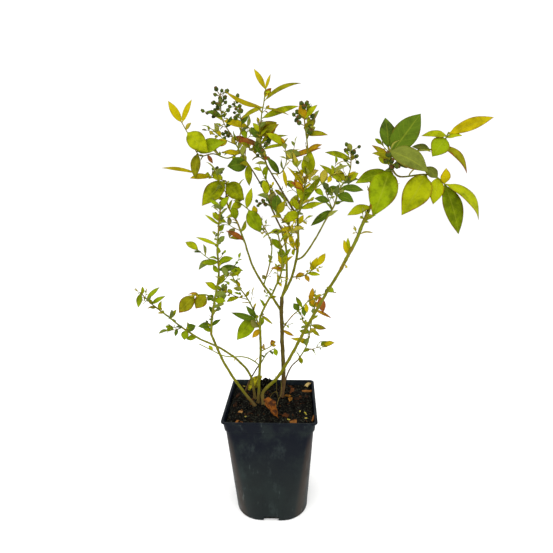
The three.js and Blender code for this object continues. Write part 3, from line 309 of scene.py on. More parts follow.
# What grows besides, finer than the solids.
LARGE_LEAF = 30
PALE_LEAF = 36
AXIL_CHANCE = 0.6
AXIL_SIZE = (0.35, 0.6)
TWIGLET_CHANCE = 0.35
TWIGLET_TILT = (35, 60)
TWIGLET_LENGTH = (0.5, 0.9)
TWIGLET_RADIUS = (0.5, 0.3)
TWIGLET_LEAVES = (0.45, 0.75, 1)
BUD_LENGTH = (1.6, 2.6)
SKIN = 1.2
STALK_RADIUS = 0.6
STALK_SAG = 0.6
STALK_STEPS = 4
STALK_FORK = 0.6
CROWN_LIFT = 0.4
FRUIT_SIZE = (0.7, 1.02)

# Clusters of berries by spray: where each berry hangs, besides the rule's own.
FRUIT = {
    "upper_left_berry_spray": [(-68, 76, 603), (-77, 72, 597), (-68, 78, 590), (-81, 73, 586),
        (-76, 78, 586), (-96, 73, 576), (-89, 69, 572), (-83, 76, 575), (-78, 71, 577), (-81, 76, 569),
        (-66, 72, 569), (-75, 67, 553)],
    "upper_left_spray": [(-67, 68, 543), (-62, 64, 545), (-60, 71, 541), (-65, 66, 537)],
    "upper_middle_berry_spray": [(-47, 44, 579), (-42, 40, 581), (-39, 48, 577), (-44, 43, 573),
        (-38, 51, 571), (-43, 48, 565), (-37, 46, 560), (-47, 49, 569)],
    "right_centre_berry_spray": [(44, -42, 563), (50, -46, 563), (54, -39, 559), (47, -44, 559),
        (35, -37, 552), (39, -42, 554), (41, -45, 548), (38, -38, 546), (54, -42, 538)],
    "back_right_berry_spray": [(112, 63, 518), (112, 68, 507), (124, 63, 509), (126, 67, 501),
        (119, 66, 515)],
    "high_spray": [(-13, -14, 522), (-8, -17, 519), (-13, -10, 515), (-5, -15, 513), (-1, -9, 520),
        (-11, -13, 508), (-5, -17, 507), (3, -11, 529)],
    "heart_spray": [(-17, 25, 449), (-12, 22, 446), (-8, 28, 449), (-15, 24, 443), (-5, 30, 444)],
    "right_upper_spray": [(127, -136, 499), (131, -134, 493), (136, -136, 488), (126, -131, 493),
        (132, -130, 487)],
    "centre_bough_spray": [(-68, 57, 451), (-63, 53, 454), (-72, 59, 446)],
    "thin_left_spray": [(-81, 52, 494), (-75, 50, 495), (-71, 59, 490)],
}
# Leaves by spray that the solids leave out, as in a spray's own table.
FINE_LEAVES = {
    "front_centre_spray": [(0.97, 60, 78, 22, 14, 75, "dark")],
    "crossing_side_spray": [(0.2, -155, 52, 26, 9, 70, "dark"), (1, -150, 60, 9, 4, 60, "orange")],
    "right_centre_spray": [(0.62, -160, 8, 14, 6, 60, "green"), (0.62, -25, -20, 12, 5, 60, "green")],
    "high_spray": [(0.7, -13, 45, 24, 5, 60, "lime"), (0.3, -27, -25, 12, 6, 60, "rust"),
        (0.97, 5, 38, 27, 19, 86, "olive")],
    "back_shoot_spray": [(0.06, 0, -78, 13, 7, 80, "lime"), (0.19, 5, 10, 9, 6, 80, "green"),
        (0.31, 175, 20, 15, 5, 75, "yellow"), (0.37, 178, 5, 28, 6, 75, "yellow", 0.12),
        (0.51, 180, 6, 17, 8, 80, "green"), (0.58, -5, -42, 20, 6, 75, "olive", 0.1),
        (0.63, 0, -15, 25, 8, 75, "olive")],
    "inner_right_spray": [(0.02, -5, -27, 19, 5, 75, "orange", 0.1),
        (0.48, 175, 60, 18, 6, 75, "green", -0.2), (0.77, 0, -76, 24, 11, 85, "rust")],
    "far_left_spray": [(0.44, 0, -60, 14, 6, 75, "rust")],
    "top_spray": [(0.9, 20, 10, 9, 4, 60, "lime"), (0.58, 0, -13, 34, 3, 60, "olive")],
}

# Each tint's two blade colours, its underside, how much rust it shows and the record's slot.
TINTS = {
    "lime": dict(blade=("#898f05", "#545c02"), under="#828633", rust=0.35, slot="foliage_lime"),
    "green": dict(blade=("#738305", "#465302"), under="#64702a", rust=0.30, slot="foliage_green"),
    "dark": dict(blade=("#465a0f", "#293609"), under="#4f5928", rust=0.15, slot="foliage_dark"),
    "yellow": dict(blade=("#9e9003", "#776a02"), under="#9c902a", rust=0.40, slot="foliage_yellow"),
    "orange": dict(blade=("#967508", "#6a5203"), under="#8b7533", rust=0.85, slot="foliage_yellow"),
    "rust": dict(blade=("#84481a", "#432c14"), under="#6f5028", rust=0.75, slot="foliage_rust"),
    "olive": dict(blade=("#787508", "#4a4a03"), under="#6b692e", rust=0.60, slot="foliage_dark"),
    "sage": dict(blade=("#616924", "#454c18"), under="#536209", rust=0.20, slot="foliage_green"),
}
NEAR_TINTS = {
    "lime": ("lime", "lime", "green", "yellow"),
    "green": ("green", "lime", "lime", "olive", "yellow"),
    "dark": ("dark", "dark", "green", "green", "lime"),
    "yellow": ("yellow", "yellow", "lime", "orange"),
    "rust": ("rust", "orange"),
}


# ---- Numbers ----


def seeded(seed):
    """Random numbers from 0 to 1, the same ones as the solids' rule draws."""
    state = seed
    whole = 0xFFFFFFFF

    def draw():
        nonlocal state
        state = (state + 0x6D2B79F5) & whole
        mixed = ((state ^ (state >> 15)) * (1 | state)) & whole
        mixed = (mixed + (((mixed ^ (mixed >> 7)) * (61 | mixed)) & whole)) & whole ^ mixed
        return ((mixed ^ (mixed >> 14)) & whole) / (whole + 1)

    return draw


def within(limits, draw):
    return limits[0] + (limits[1] - limits[0]) * draw()


def metres(places):
    return [Vector(place) * MM for place in places]


def linear(colour):
    """A hexadecimal screen colour as the linear colour that a shader takes."""
    parts = [int(colour[i : i + 2], 16) / 255 for i in (1, 3, 5)]
    return (*[p / 12.92 if p <= 0.04045 else ((p + 0.055) / 1.055) ** 2.4 for p in parts], 1)


def heading_vector(heading, rise):
    h, r = math.radians(heading), math.radians(rise)
    return Vector((math.cos(r) * math.cos(h), math.cos(r) * math.sin(h), math.sin(r)))


def turned_to(direction):
    """The turn that lays the Z axis along a direction."""
    return direction.to_track_quat("Z", "Y").to_matrix().to_4x4()


def leaf_outline(share, foot, tip):
    """Half-width over its greatest: foot moves the widest part, and tip draws both ends out."""
    return math.sin(math.pi * share**foot) ** tip


def face_of(direction, towards, tilt):
    """The direction that a leaf's upper face turns to, square to the leaf itself."""
    face = UP * math.cos(math.radians(tilt)) + towards * math.sin(math.radians(tilt))
    face -= direction * face.dot(direction)
    if face.length < END_ON:
        face = FRONT - direction * FRONT.dot(direction)
    return face.normalized()


# ---- Stems ----


class Stem:
    """A smooth curve through a stem's points, in metres, measured along its length."""

    SAMPLES = 40
    NUDGE = 0.001

    def __init__(self, points, radius):
        self.radius = radius
        ends = [2 * points[0] - points[1], *points, 2 * points[-1] - points[-2]]
        self.places = [points[0].copy()]
        for before, start, end, after in zip(ends, ends[1:], ends[2:], ends[3:]):
            leave, arrive = (end - before) / 2, (after - start) / 2
            for i in range(1, self.SAMPLES + 1):
                t = i / self.SAMPLES
                self.places.append(
                    start * (2 * t**3 - 3 * t**2 + 1)
                    + leave * (t**3 - 2 * t**2 + t)
                    + end * (3 * t**2 - 2 * t**3)
                    + arrive * (t**3 - t**2)
                )
        self.lengths = [0]
        for a, b in zip(self.places, self.places[1:]):
            self.lengths.append(self.lengths[-1] + (b - a).length)
        self.length = self.lengths[-1]

    def at(self, share):
        along = min(1, max(0, share)) * self.length
        i = min(bisect_right(self.lengths, along), len(self.lengths) - 1)
        span = self.lengths[i] - self.lengths[i - 1]
        return self.places[i - 1].lerp(self.places[i], (along - self.lengths[i - 1]) / span)

    def heading(self, share):
        low, high = max(0, share - self.NUDGE), min(1, share + self.NUDGE)
        return (self.at(high) - self.at(low)).normalized()

    def offshoot(self, share, turn, tilt):
        """The direction that leaves the stem at a given angle round it and angle to it."""
        tangent = self.heading(share)
        side = tangent.cross(FRONT).normalized()
        over = side.cross(tangent)
        turn, tilt = math.radians(turn), math.radians(tilt)
        out = side * math.cos(turn) + over * math.sin(turn)
        return (tangent * math.cos(tilt) + out * math.sin(tilt)).normalized()


def grown_stems():
    """Every limb and spray stem by name, each from its foot or from its parent."""
    stems = {}
    for row in LIMBS + SPRAYS:
        if "foot" in row:
            start = Vector((*row["foot"], GROUND + STEM_LIFT)) * MM
        else:
            parent, share = row["grows_from"]
            start = stems[parent].at(share)
        stems[row["name"]] = Stem([start, *metres(row["through"])], [r * MM for r in row["radius"]])
    return stems


class Rods:
    """Round tapering stems, laid as curves of one bevel and turned into one mesh."""

    def __init__(self, name, sides):
        self.name = name
        self.curve = bpy.data.curves.new(name + "_lines", "CURVE")
        self.curve.dimensions = "3D"
        self.curve.bevel_depth = 1
        self.curve.bevel_resolution = (sides - 4) // 2  # Blender's bevel has 4 sides and 2 more a step
        self.curve.use_fill_caps = True

    def add(self, places, radii):
        spline = self.curve.splines.new("POLY")
        spline.points.add(len(places) - 1)
        for point, place, radius in zip(spline.points, places, radii):
            point.co = (*place, 1)
            point.radius = radius
        spline.use_smooth = True

    def mesh(self):
        lines = in_scene(self.name + "_lines", self.curve)
        made = evaluated(lines)
        bpy.data.objects.remove(lines)
        bpy.data.curves.remove(self.curve)
        made.name = self.name
        return made


# ---- Meshes ----


def in_scene(name, data):
    made = bpy.data.objects.new(name, data)
    bpy.context.scene.collection.objects.link(made)
    return made


def evaluated(thing):
    """The mesh that a curve's bevel or a piece's modifiers make."""
    bpy.context.view_layer.update()
    return bpy.data.meshes.new_from_object(thing.evaluated_get(bpy.context.evaluated_depsgraph_get()))


def piece_from(name, mesh, material, slot, *nodes):
    """Puts a finished mesh in the scene as a piece that rides with the CAD and stands for nodes."""
    piece = in_scene(name, mesh)
    mesh.materials.clear()
    mesh.materials.append(material)
    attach(piece, "root")
    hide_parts(*nodes)
    return piece


def mesh_from(name, bm, smooth=True):
    mesh = bpy.data.meshes.new(name)
    for face in bm.faces:
        face.smooth = smooth
    bm.to_mesh(mesh)
    bm.free()
    return mesh


def applied(piece, modifier_type, **settings):
    """Adds a modifier to a piece and applies it."""
    modifier = piece.modifiers.new(modifier_type.title(), modifier_type)
    for key, value in settings.items():
        setattr(modifier, key, value)
    done = evaluated(piece)
    piece.modifiers.clear()
    piece.data = done


def combined(piece, mesh, operation):
    """Joins a mesh to a piece, or cuts it away."""
    tool = in_scene("tool", mesh)
    applied(piece, "BOOLEAN", operation=operation, object=tool, solver="EXACT")
    bpy.data.objects.remove(tool)


def pot_outline(k, half, corner):
    """Point k round a square of rounded corners."""
    quarter, step = divmod(k, ARC_STEPS + 1 + len(SIDE_SHARES))

    def arc(number, share):
        angle = math.radians(90 * (number + share))
        middle = math.radians(45 + 90 * number)
        out = half - corner
        x = math.copysign(out, math.cos(middle)) + corner * math.cos(angle)
        y = math.copysign(out, math.sin(middle)) + corner * math.sin(angle)
        return Vector((x, y))

    if step <= ARC_STEPS:
        return arc(quarter, step / ARC_STEPS)
    return arc(quarter, 1).lerp(arc(quarter + 1, 0), SIDE_SHARES[step - ARC_STEPS - 1])


def extruded(bm, loop):
    """Extrudes a loop of edges, and gives the new loop's corners and edges."""
    grown = bmesh.ops.extrude_edge_only(bm, edges=loop)["geom"]
    corners = [g for g in grown if isinstance(g, bmesh.types.BMVert)]
    ends = set(corners)
    return corners, [g for g in grown if isinstance(g, bmesh.types.BMEdge) and set(g.verts) <= ends]


def ring_shell(rings):
    """A closed shell through rings of (height, half width, corner), extruded one from another."""
    bm = bmesh.new()
    number = bm.verts.layers.int.new("number")
    count = 4 * (ARC_STEPS + 1 + len(SIDE_SHARES))
    corners = bmesh.ops.create_circle(bm, cap_ends=True, segments=count, radius=1)["verts"]
    for k, vert in enumerate(corners):
        vert[number] = k
    loop = list(bm.edges)
    for i, (z, half, corner) in enumerate(rings):
        if i:
            corners, loop = extruded(bm, loop)
        for vert in corners:
            vert.co = Vector((*pot_outline(vert[number], half, corner), z)) * MM
    bmesh.ops.edgeloop_fill(bm, edges=loop)
    bmesh.ops.recalc_face_normals(bm, faces=bm.faces)
    return bm


def quarter_turn(quarter):
    return Matrix.Rotation(quarter * math.pi / 2, 4, "Z")


def box_mesh(low, high, quarter):
    """A box between two corners, in millimetres, turned by quarters about the pot."""
    bm = bmesh.new()
    size = Vector(high) - Vector(low)
    place = quarter_turn(quarter) @ Matrix.Translation((Vector(high) + Vector(low)) / 2 * MM)
    bmesh.ops.create_cube(bm, size=1, matrix=place @ Matrix.Diagonal((*size * MM, 1)))
    return mesh_from("box", bm, smooth=False)


# ---- Finishes ----


class Signal:
    """A shader socket that builds Math nodes when it stands in an expression."""

    def __init__(self, finish, socket):
        self.finish = finish
        self.socket = socket

    def __add__(self, other):
        return self.finish.math("ADD", self, other)

    def __sub__(self, other):
        return self.finish.math("SUBTRACT", self, other)

    def __rsub__(self, other):
        return self.finish.math("SUBTRACT", other, self)

    def __mul__(self, other):
        return self.finish.math("MULTIPLY", self, other)

    def __abs__(self):
        return self.finish.math("ABSOLUTE", self)

    __radd__ = __add__
    __rmul__ = __mul__


class Finish:
    """One procedural material round a Principled shader."""

    def __init__(self, name, shine, roughness=0.5):
        self.material = bpy.data.materials.new(name)
        self.material.use_nodes = True
        self.tree = self.material.node_tree
        self.tree.nodes.clear()
        inputs = {"Roughness": roughness, "Specular IOR Level": shine}
        surface = self.node("ShaderNodeBsdfPrincipled", inputs)
        self.sockets = surface.socket.node.inputs
        self.node("ShaderNodeOutputMaterial", {"Surface": surface})

    def node(self, kind, inputs=None, output=0, stops=(), **settings):
        """Adds a node: its settings first, then the values or links of its sockets. Gives one output."""
        made = self.tree.nodes.new(kind)
        for key, value in settings.items():
            setattr(made, key, value)
        if stops:
            ramp = made.color_ramp.elements
            while len(ramp) < len(stops):
                ramp.new(0.5)
            for element, (position, colour) in zip(ramp, stops):
                element.position = position
                element.color = linear(colour)
        for key, value in (inputs or {}).items():
            self.feed(made.inputs[key], value)
        return Signal(self, made.outputs[output]) if made.outputs else None

    def feed(self, socket, value):
        if isinstance(value, Signal):
            self.tree.links.new(value.socket, socket)
        else:
            socket.default_value = value

    def math(self, operation, *values):
        return self.node("ShaderNodeMath", dict(enumerate(values)), operation=operation)

    def ramp(self, value, low, high):
        """0 below low, 1 above high, and a smooth rise between them."""
        inputs = {"Value": value, "From Min": low, "From Max": high}
        return self.node("ShaderNodeMapRange", inputs, interpolation_type="SMOOTHSTEP")

    def mix(self, share, a, b):
        """The colour a with a share of the colour b."""
        a, b = (linear(colour) if isinstance(colour, str) else colour for colour in (a, b))
        kind = dict(data_type="RGBA", clamp_factor=True)
        return self.node("ShaderNodeMix", {0: share, 6: a, 7: b}, output=2, **kind)

    def place(self, stretch=(1, 1, 1)):
        """Object coordinates, stretched along each axis."""
        coordinates = self.node("ShaderNodeTexCoord", output="Object")
        return self.node("ShaderNodeMapping", {"Vector": coordinates, "Scale": stretch})

    def parts(self, vector):
        split = self.node("ShaderNodeSeparateXYZ", {0: vector}).socket.node
        return [Signal(self, part) for part in split.outputs]

    def noise(self, scale, detail=3, roughness=0.5, stretch=(1, 1, 1)):
        inputs = {"Vector": self.place(stretch), "Scale": scale, "Detail": detail, "Roughness": roughness}
        return self.node("ShaderNodeTexNoise", inputs)

    def attribute(self, name, output="Fac"):
        return self.node("ShaderNodeAttribute", output=output, attribute_name=name)

    def relief(self, height, strength, distance):
        inputs = {"Height": height, "Strength": strength, "Distance": distance}
        self.feed(self.sockets["Normal"], self.node("ShaderNodeBump", inputs))

    def wear(self, colour, roughness=None):
        """Feeds the colour, and a roughness that varies, and gives the finished material."""
        self.feed(self.sockets["Base Color"], colour)
        if roughness is not None:
            self.feed(self.sockets["Roughness"], roughness)
        return self.material


def moulded_plastic(plastic):
    """Dark polypropylene with a faint blue-green tone, dusty smears and scuffs, painted shade that darkens
    it towards the top and a painted highlight that lightens the corners towards brown.
    """
    finish = Finish("moulded_plastic", shine=0.05)
    x, y, height = finish.parts(finish.place())
    # Painted shade: from about 100 mm up the plastic is mixed towards a dark blue-black, darkest at the top.
    painted_top_shade = finish.ramp(height + finish.noise(14, 2) * 0.12, 0.1, 0.19)
    body = finish.mix(painted_top_shade, plastic, "#070b14")
    cloud = finish.ramp(finish.noise(30, 5, 0.7), 0.42, 0.66)
    body = finish.mix(cloud * 0.75, body, "#1b2221")
    smear = finish.ramp(finish.noise(60, 5, 0.65, (1, 1, 0.45)), 0.54, 0.72)
    body = finish.mix(smear * 0.5, body, "#2d3534")
    scuff = finish.ramp(finish.noise(170, 3, 0.7, (1, 1, 0.12)), 0.6, 0.7)
    body = finish.mix(scuff * cloud * 0.6, body, "#4e5656")
    # Painted highlight: the rounded corners below the collar are lightened towards a brown.
    corner_slope = 0.2215  # how fast |x| + |y| grows up a corner of the taper
    corner = finish.ramp(abs(x) + abs(y) - height * corner_slope, 0.079, 0.0825)
    body = finish.mix(corner * 0.25 * finish.ramp(height, 0.145, 0.12), body, "#4a3423")
    finish.relief(finish.noise(900, 2) + smear * 0.5, 0.12, 0.0002)
    return finish.wear(body, 0.38 + smear * 0.25 + cloud * 0.1)


def damp_earth(peat):
    """Near-black peat in lighter patches, with pale flecks of grit and fibre."""
    finish = Finish("damp_earth", shine=0.03)
    crumb = finish.noise(420, 4, 0.7)
    patch = finish.ramp(finish.noise(90, 3, 0.6), 0.35, 0.7)
    fleck = finish.ramp(finish.noise(380, 4, 0.8), 0.54, 0.62)
    earth = finish.mix(fleck * 0.8, finish.mix(patch, "#030303", peat), "#3c3d31")
    finish.relief(crumb, 0.8, 0.0012)
    return finish.wear(earth, 0.72 + crumb * 0.2)


def shed_bark():
    """Chips and flakes from dark brown to tan, each with its own tone."""
    finish = Finish("shed_bark", shine=0.05, roughness=0.85)
    stops = [(0, "#0b0705"), (0.35, "#23150a"), (0.6, "#512c12"), (0.8, "#8a5a28")]
    stops += [(0.92, "#b9a06c"), (1, "#a59a2c")]
    tone = finish.node("ShaderNodeValToRGB", {"Fac": finish.attribute("tone")}, stops=stops)
    fibre = finish.noise(500, 3, 0.6, (1, 0.3, 1))
    finish.relief(fibre, 0.6, 0.0006)
    return finish.wear(finish.mix(fibre * 0.4, tone, "#21130a"))


def dead_leaf():
    """Withered leaves, brown or, with a tone of 1, still olive yellow."""
    finish = Finish("dead_leaf", shine=0.1, roughness=0.7)
    blotch = finish.ramp(finish.noise(180, 4, 0.6), 0.4, 0.62)
    brown, yellow = finish.mix(blotch, "#77430f", "#341a08"), finish.mix(blotch, "#98900c", "#5f5608")
    finish.relief(finish.noise(420, 4, 0.6), 0.7, 0.0007)
    return finish.wear(finish.mix(finish.attribute("tone"), brown, yellow))


def bark(name, stem, brown_top, streak):
    """Smooth bark that turns brown and corky towards the compost."""
    finish = Finish(name, shine=0.04)
    mottle = finish.noise(130, 3, 0.6)
    height = finish.parts(finish.place())[2]
    age = 1 - finish.ramp(height + mottle * 0.03, brown_top - 0.015, brown_top + 0.03)
    shade = finish.mix(finish.ramp(mottle, 0.4, 0.68) * 0.55, stem, streak)
    colour = finish.mix(age * 0.85, shade, "#4f3a26")
    groove = finish.noise(900, 3, 0.6, (1, 1, 0.12))
    colour = finish.mix(finish.ramp(groove, 0.52, 0.75) * (age * 0.5 + 0.2), colour, "#312713")
    finish.relief(groove, 0.5, 0.0004)
    return finish.wear(colour, 0.5 + age * 0.25)


def twig_skin(green):
    """Young green twig, redder in patches."""
    finish = Finish("twig_skin", shine=0.04)
    flush = finish.ramp(finish.noise(45), 0.42, 0.66)
    finish.relief(finish.noise(900, 2, 0.5, (1, 1, 0.2)), 0.3, 0.0003)
    return finish.wear(finish.mix(flush * 0.6, green, "#6f4717"))


def blade_finish(name, first, second, vein, rust):
    """A leaf's face: two greens, pale veins, and rust that comes in from the edge and the tip."""
    finish = Finish(name, shine=0.02)
    side, along, tone = finish.parts(finish.attribute("blade", "Vector"))
    across = abs(side)
    cloud = finish.noise(90, 3, 0.6)
    colour = finish.mix(finish.ramp(cloud * 1.3 + tone * 0.4, 0.58, 1.22), first, second)
    mottle = finish.ramp(finish.noise(300, 4, 0.75), 0.52, 0.72)
    colour = finish.mix(mottle * 0.26, colour, "#232a04")
    midrib = 1 - finish.ramp(across, 0.02, 0.09)
    ribs = finish.math("SINE", (along * 7 - across * 1.5) * math.tau)
    veins = finish.math("MAXIMUM", midrib, finish.ramp(ribs, 0.86, 1) * 0.3)
    colour = finish.mix(veins * 0.25, colour, vein)
    edge = finish.ramp(across, 0.45, 1.05) * 0.5 + finish.ramp(along, 0.6, 1.05) * 0.45
    amount = finish.attribute("rust")
    mask = finish.ramp(edge * 0.6 + finish.noise(150, 4, 0.65) + amount * 0.5, 0.98, 1.16)
    rim = finish.ramp(across, 0.8, 1) * finish.ramp(amount + cloud, 0.55, 0.95)
    colour = finish.mix(finish.math("MAXIMUM", mask * 0.85, rim * 0.6), colour, rust)
    finish.relief(ribs * 0.35 - midrib + cloud, 0.25, 0.0005)
    return finish.wear(colour, 0.42 + cloud * 0.16)


def berry_skin(green):
    """Unripe berries: green under a grey bloom, with a reddish crown."""
    finish = Finish("berry_skin", shine=0.05)
    bloom = finish.ramp(finish.noise(260, 3, 0.6), 0.4, 0.7)
    skin = finish.mix(finish.attribute("tone") * 0.9, green, "#1c2a08")
    skin = finish.mix(bloom * 0.12, skin, "#545f38")
    finish.relief(bloom, 0.15, 0.0003)
    return finish.wear(finish.mix(finish.attribute("crown") * 0.75, skin, "#5a3a1c"), 0.45 + bloom * 0.15)


def pale_floor(white):
    return Finish("pale_floor", shine=0.1, roughness=0.9).wear(white)


# ---- Settings ----


def colour_setting(name, description, colour):
    limits = dict(subtype="COLOR", size=4, min=0, max=1)
    return FloatVectorProperty(name=name, description=description, default=linear(colour), **limits)


class PotSettings(bpy.types.PropertyGroup):
    """The nursery pot."""

    edge: FloatProperty(
        name="Edge Rounding", description="Radius of the pot's moulded edges",
        default=0.5 * MM, min=0, unit="LENGTH",
    )
    plastic: colour_setting("Plastic", "Colour of the pot's lower walls", "#161b1b")


class CompostSettings(bpy.types.PropertyGroup):
    """The compost and what lies on it."""

    clod: FloatProperty(
        name="Clod Height", description="How far the lumps of compost stand up",
        default=2.4 * MM, min=0, unit="LENGTH",
    )
    crumbs: IntProperty(name="Crumbs", description="Loose crumbs of compost", default=420, min=0)
    flakes: IntProperty(name="Flakes", description="Loose flakes of bark and fibre", default=230, min=0)
    peat: colour_setting("Peat", "Colour of the paler patches of compost", "#0c0a07")


class PlantSettings(bpy.types.PropertyGroup):
    """Canes, leaves and berries."""

    leaf_thickness: FloatProperty(
        name="Leaf Thickness", description="Thickness of a leaf's blade",
        default=0.25 * MM, min=0.05 * MM, unit="LENGTH",
    )
    brown_bark: colour_setting("Brown Bark", "Colour of the older canes", "#463b16")
    green_bark: colour_setting("Green Bark", "Colour of the younger canes", "#66640f")
    twig: colour_setting("Twigs", "Colour of the green parts of the twigs", "#666c17")
    berry: colour_setting("Berries", "Colour of the paler berries", "#46550f")


for tint, look in TINTS.items():
    setting = colour_setting(f"{tint.title()} Leaves", f"Main colour of the {tint} leaves", look["blade"][0])
    PlantSettings.__annotations__[tint] = setting


class StageSettings(bpy.types.PropertyGroup):
    """Floor, lights and camera."""

    sky: FloatProperty(name="Sky", description="Strength of the even white light", default=1.12, min=0)
    key: FloatProperty(
        name="Key Light", description="Power of the large front light", default=56, unit="POWER"
    )
    lens: FloatProperty(name="Lens", description="Focal length", default=27.62, unit="CAMERA")
    floor: colour_setting("Floor", "Colour of the floor", "#f6f6f5")


# ---- Pot and compost ----


class OBJECT_OT_nursery_pot(bpy.types.Operator):
    """Square thin-walled pot with a lip, a collar, drainage notches and holes"""

    bl_idname = "object.nursery_pot"
    bl_label = "Nursery Pot"

    def execute(self, context):
        settings = context.scene.pot_settings
        bm = ring_shell(self.rings())
        sharp = [e for e in bm.edges if e.calc_face_angle(0) > SHARP_ANGLE]
        shape = dict(segments=3, profile=0.5, affect="EDGES", material=-1, clamp_overlap=True)
        bmesh.ops.bevel(bm, geom=sharp, offset=settings.edge, **shape)
        plastic = moulded_plastic(settings.plastic)
        piece = piece_from("nursery_pot", mesh_from("nursery_pot", bm), plastic, "pot", "pot")
        for quarter in range(4):
            self.add_drainage(piece, quarter)
        applied(piece, "EDGE_SPLIT", split_angle=SPLIT_ANGLE, use_edge_sharp=False)
        return {"FINISHED"}

    def rings(self):
        top, wall, edge, inner_foot = POT["height"], POT["wall"], POT["base_edge"], COLLAR_FOOT + POT["wall"]
        return [
            (0, POT["base_half"] - edge, POT["base_corner"] - edge),
            (edge, POT["base_half"], POT["base_corner"]),
            (COLLAR_FOOT, POT["body_top_half"], POT["body_top_corner"]),
            (COLLAR_FOOT, POT["collar_foot_half"], POT["body_top_corner"]),
            (top - POT["lip_thickness"], POT["collar_top_half"], POT["lip_corner"]),
            (top - POT["lip_thickness"], POT["lip_half"], POT["lip_corner"]),
            (top, POT["lip_half"], POT["lip_corner"]),
            (top, POT["collar_top_half"] - wall, POT["lip_corner"] - wall),
            (inner_foot, POT["collar_foot_half"] - wall, POT["body_top_corner"] - wall),
            (inner_foot - STEP, POT["body_top_half"] - wall, POT["body_top_corner"] - wall),
            (POT["floor"], POT["base_half"] - wall, POT["base_corner"] - wall),
        ]

    def add_drainage(self, piece, quarter):
        """A housed notch in the middle of a wall's foot, and a round hole near a corner of the floor."""
        half, depth, roof, wall = POT["base_half"], NOTCH["depth"], NOTCH["roof"], NOTCH["wall"]
        wide = NOTCH["width"] / 2
        low = (half - depth - wall, -wide - wall, POT["floor"] / 2)
        high = (half - POT["wall"] / 2, wide + wall, NOTCH["height"] + roof)
        combined(piece, box_mesh(low, high, quarter), "UNION")
        low, high = (half - depth, -wide, -NOTCH["below"]), (half + NOTCH["past"], wide, NOTCH["height"])
        combined(piece, box_mesh(low, high, quarter), "DIFFERENCE")
        bm = bmesh.new()
        place = quarter_turn(quarter) @ Matrix.Translation(Vector((DRAIN["out"], DRAIN["out"], 0)) * MM)
        size = dict(radius1=DRAIN["radius"] * MM, radius2=DRAIN["radius"] * MM, depth=4 * POT["floor"] * MM)
        bmesh.ops.create_cone(bm, cap_ends=True, segments=DRAIN["sides"], matrix=place, **size)
        combined(piece, mesh_from("drain", bm), "DIFFERENCE")


# The compost's surface, in millimetres: how far it lies below its level, the height and span of its
# waves and of its grit, its lumps as (share of the clod height, size, seed) with their flat top and the
# share that lies below the level, its fall to the walls and how sharply it comes, the height and radius
# of the mound round a cane, and the gaps to the pot's wall.
SINK = 0.6
WAVES = (0.8, 30)
GRIT = (0.5, 2.2)
LUMPS, LUMP_TOP, LUMP_LEVEL = ((0.55, 10, 0), (0.35, 5, 9)), 0.8, 0.2
EDGE_FALL, EDGE_SHARPNESS = 2.2, 6
MOUND = (1.2, 6)
WALL_GAP, RIM_GAP = 0.8, 1


def rounded_reach(u, v, half, corner):
    """How far the edge of a rounded square lies towards (u, v), where the larger of them is 1."""
    straight = half - corner
    small = min(abs(u), abs(v))
    if small * half <= straight:
        return half
    a = 1 + small * small
    b = straight * (1 + small)
    return (b + math.sqrt(b * b - a * (2 * straight * straight - corner * corner))) / a


def inside_wall(u, v, half, corner):
    """A point of the square from -1 to 1, moved to its place inside the pot's wall."""
    reach = max(abs(u), abs(v))
    if reach == 0:
        return 0, 0
    size = rounded_reach(u / reach, v / reach, half - POT["wall"] - WALL_GAP, corner)
    return u * size, v * size


def ground_height(x, y, clod):
    """Height of the compost's crumbly surface, in millimetres."""
    height = GROUND - SINK + WAVES[0] * noise.noise(Vector((x, y, 3)) / WAVES[1])
    lumps = 0
    for share, size, seed in LUMPS:
        near = noise.voronoi(Vector((x / size, y / size, seed)))[0]
        lumps += share * min(near[1] - near[0], LUMP_TOP)
    height += clod * (lumps - LUMP_LEVEL)
    height += GRIT[0] * noise.noise(Vector((x, y, 7)) / GRIT[1])
    height -= EDGE_FALL * (max(abs(x), abs(y)) / POT["body_top_half"]) ** EDGE_SHARPNESS
    for row in LIMBS:
        if "foot" in row:
            away = math.hypot(x - row["foot"][0], y - row["foot"][1])
            height += MOUND[0] * math.exp(-((away / MOUND[1]) ** 2))
    return height


def roughened(verts, span, share, size):
    """Moves corners by a share of a size, by a noise of a given span, in millimetres."""
    for vert in verts:
        vert.co += noise.noise_vector(vert.co / (span * MM)) * share * size * MM


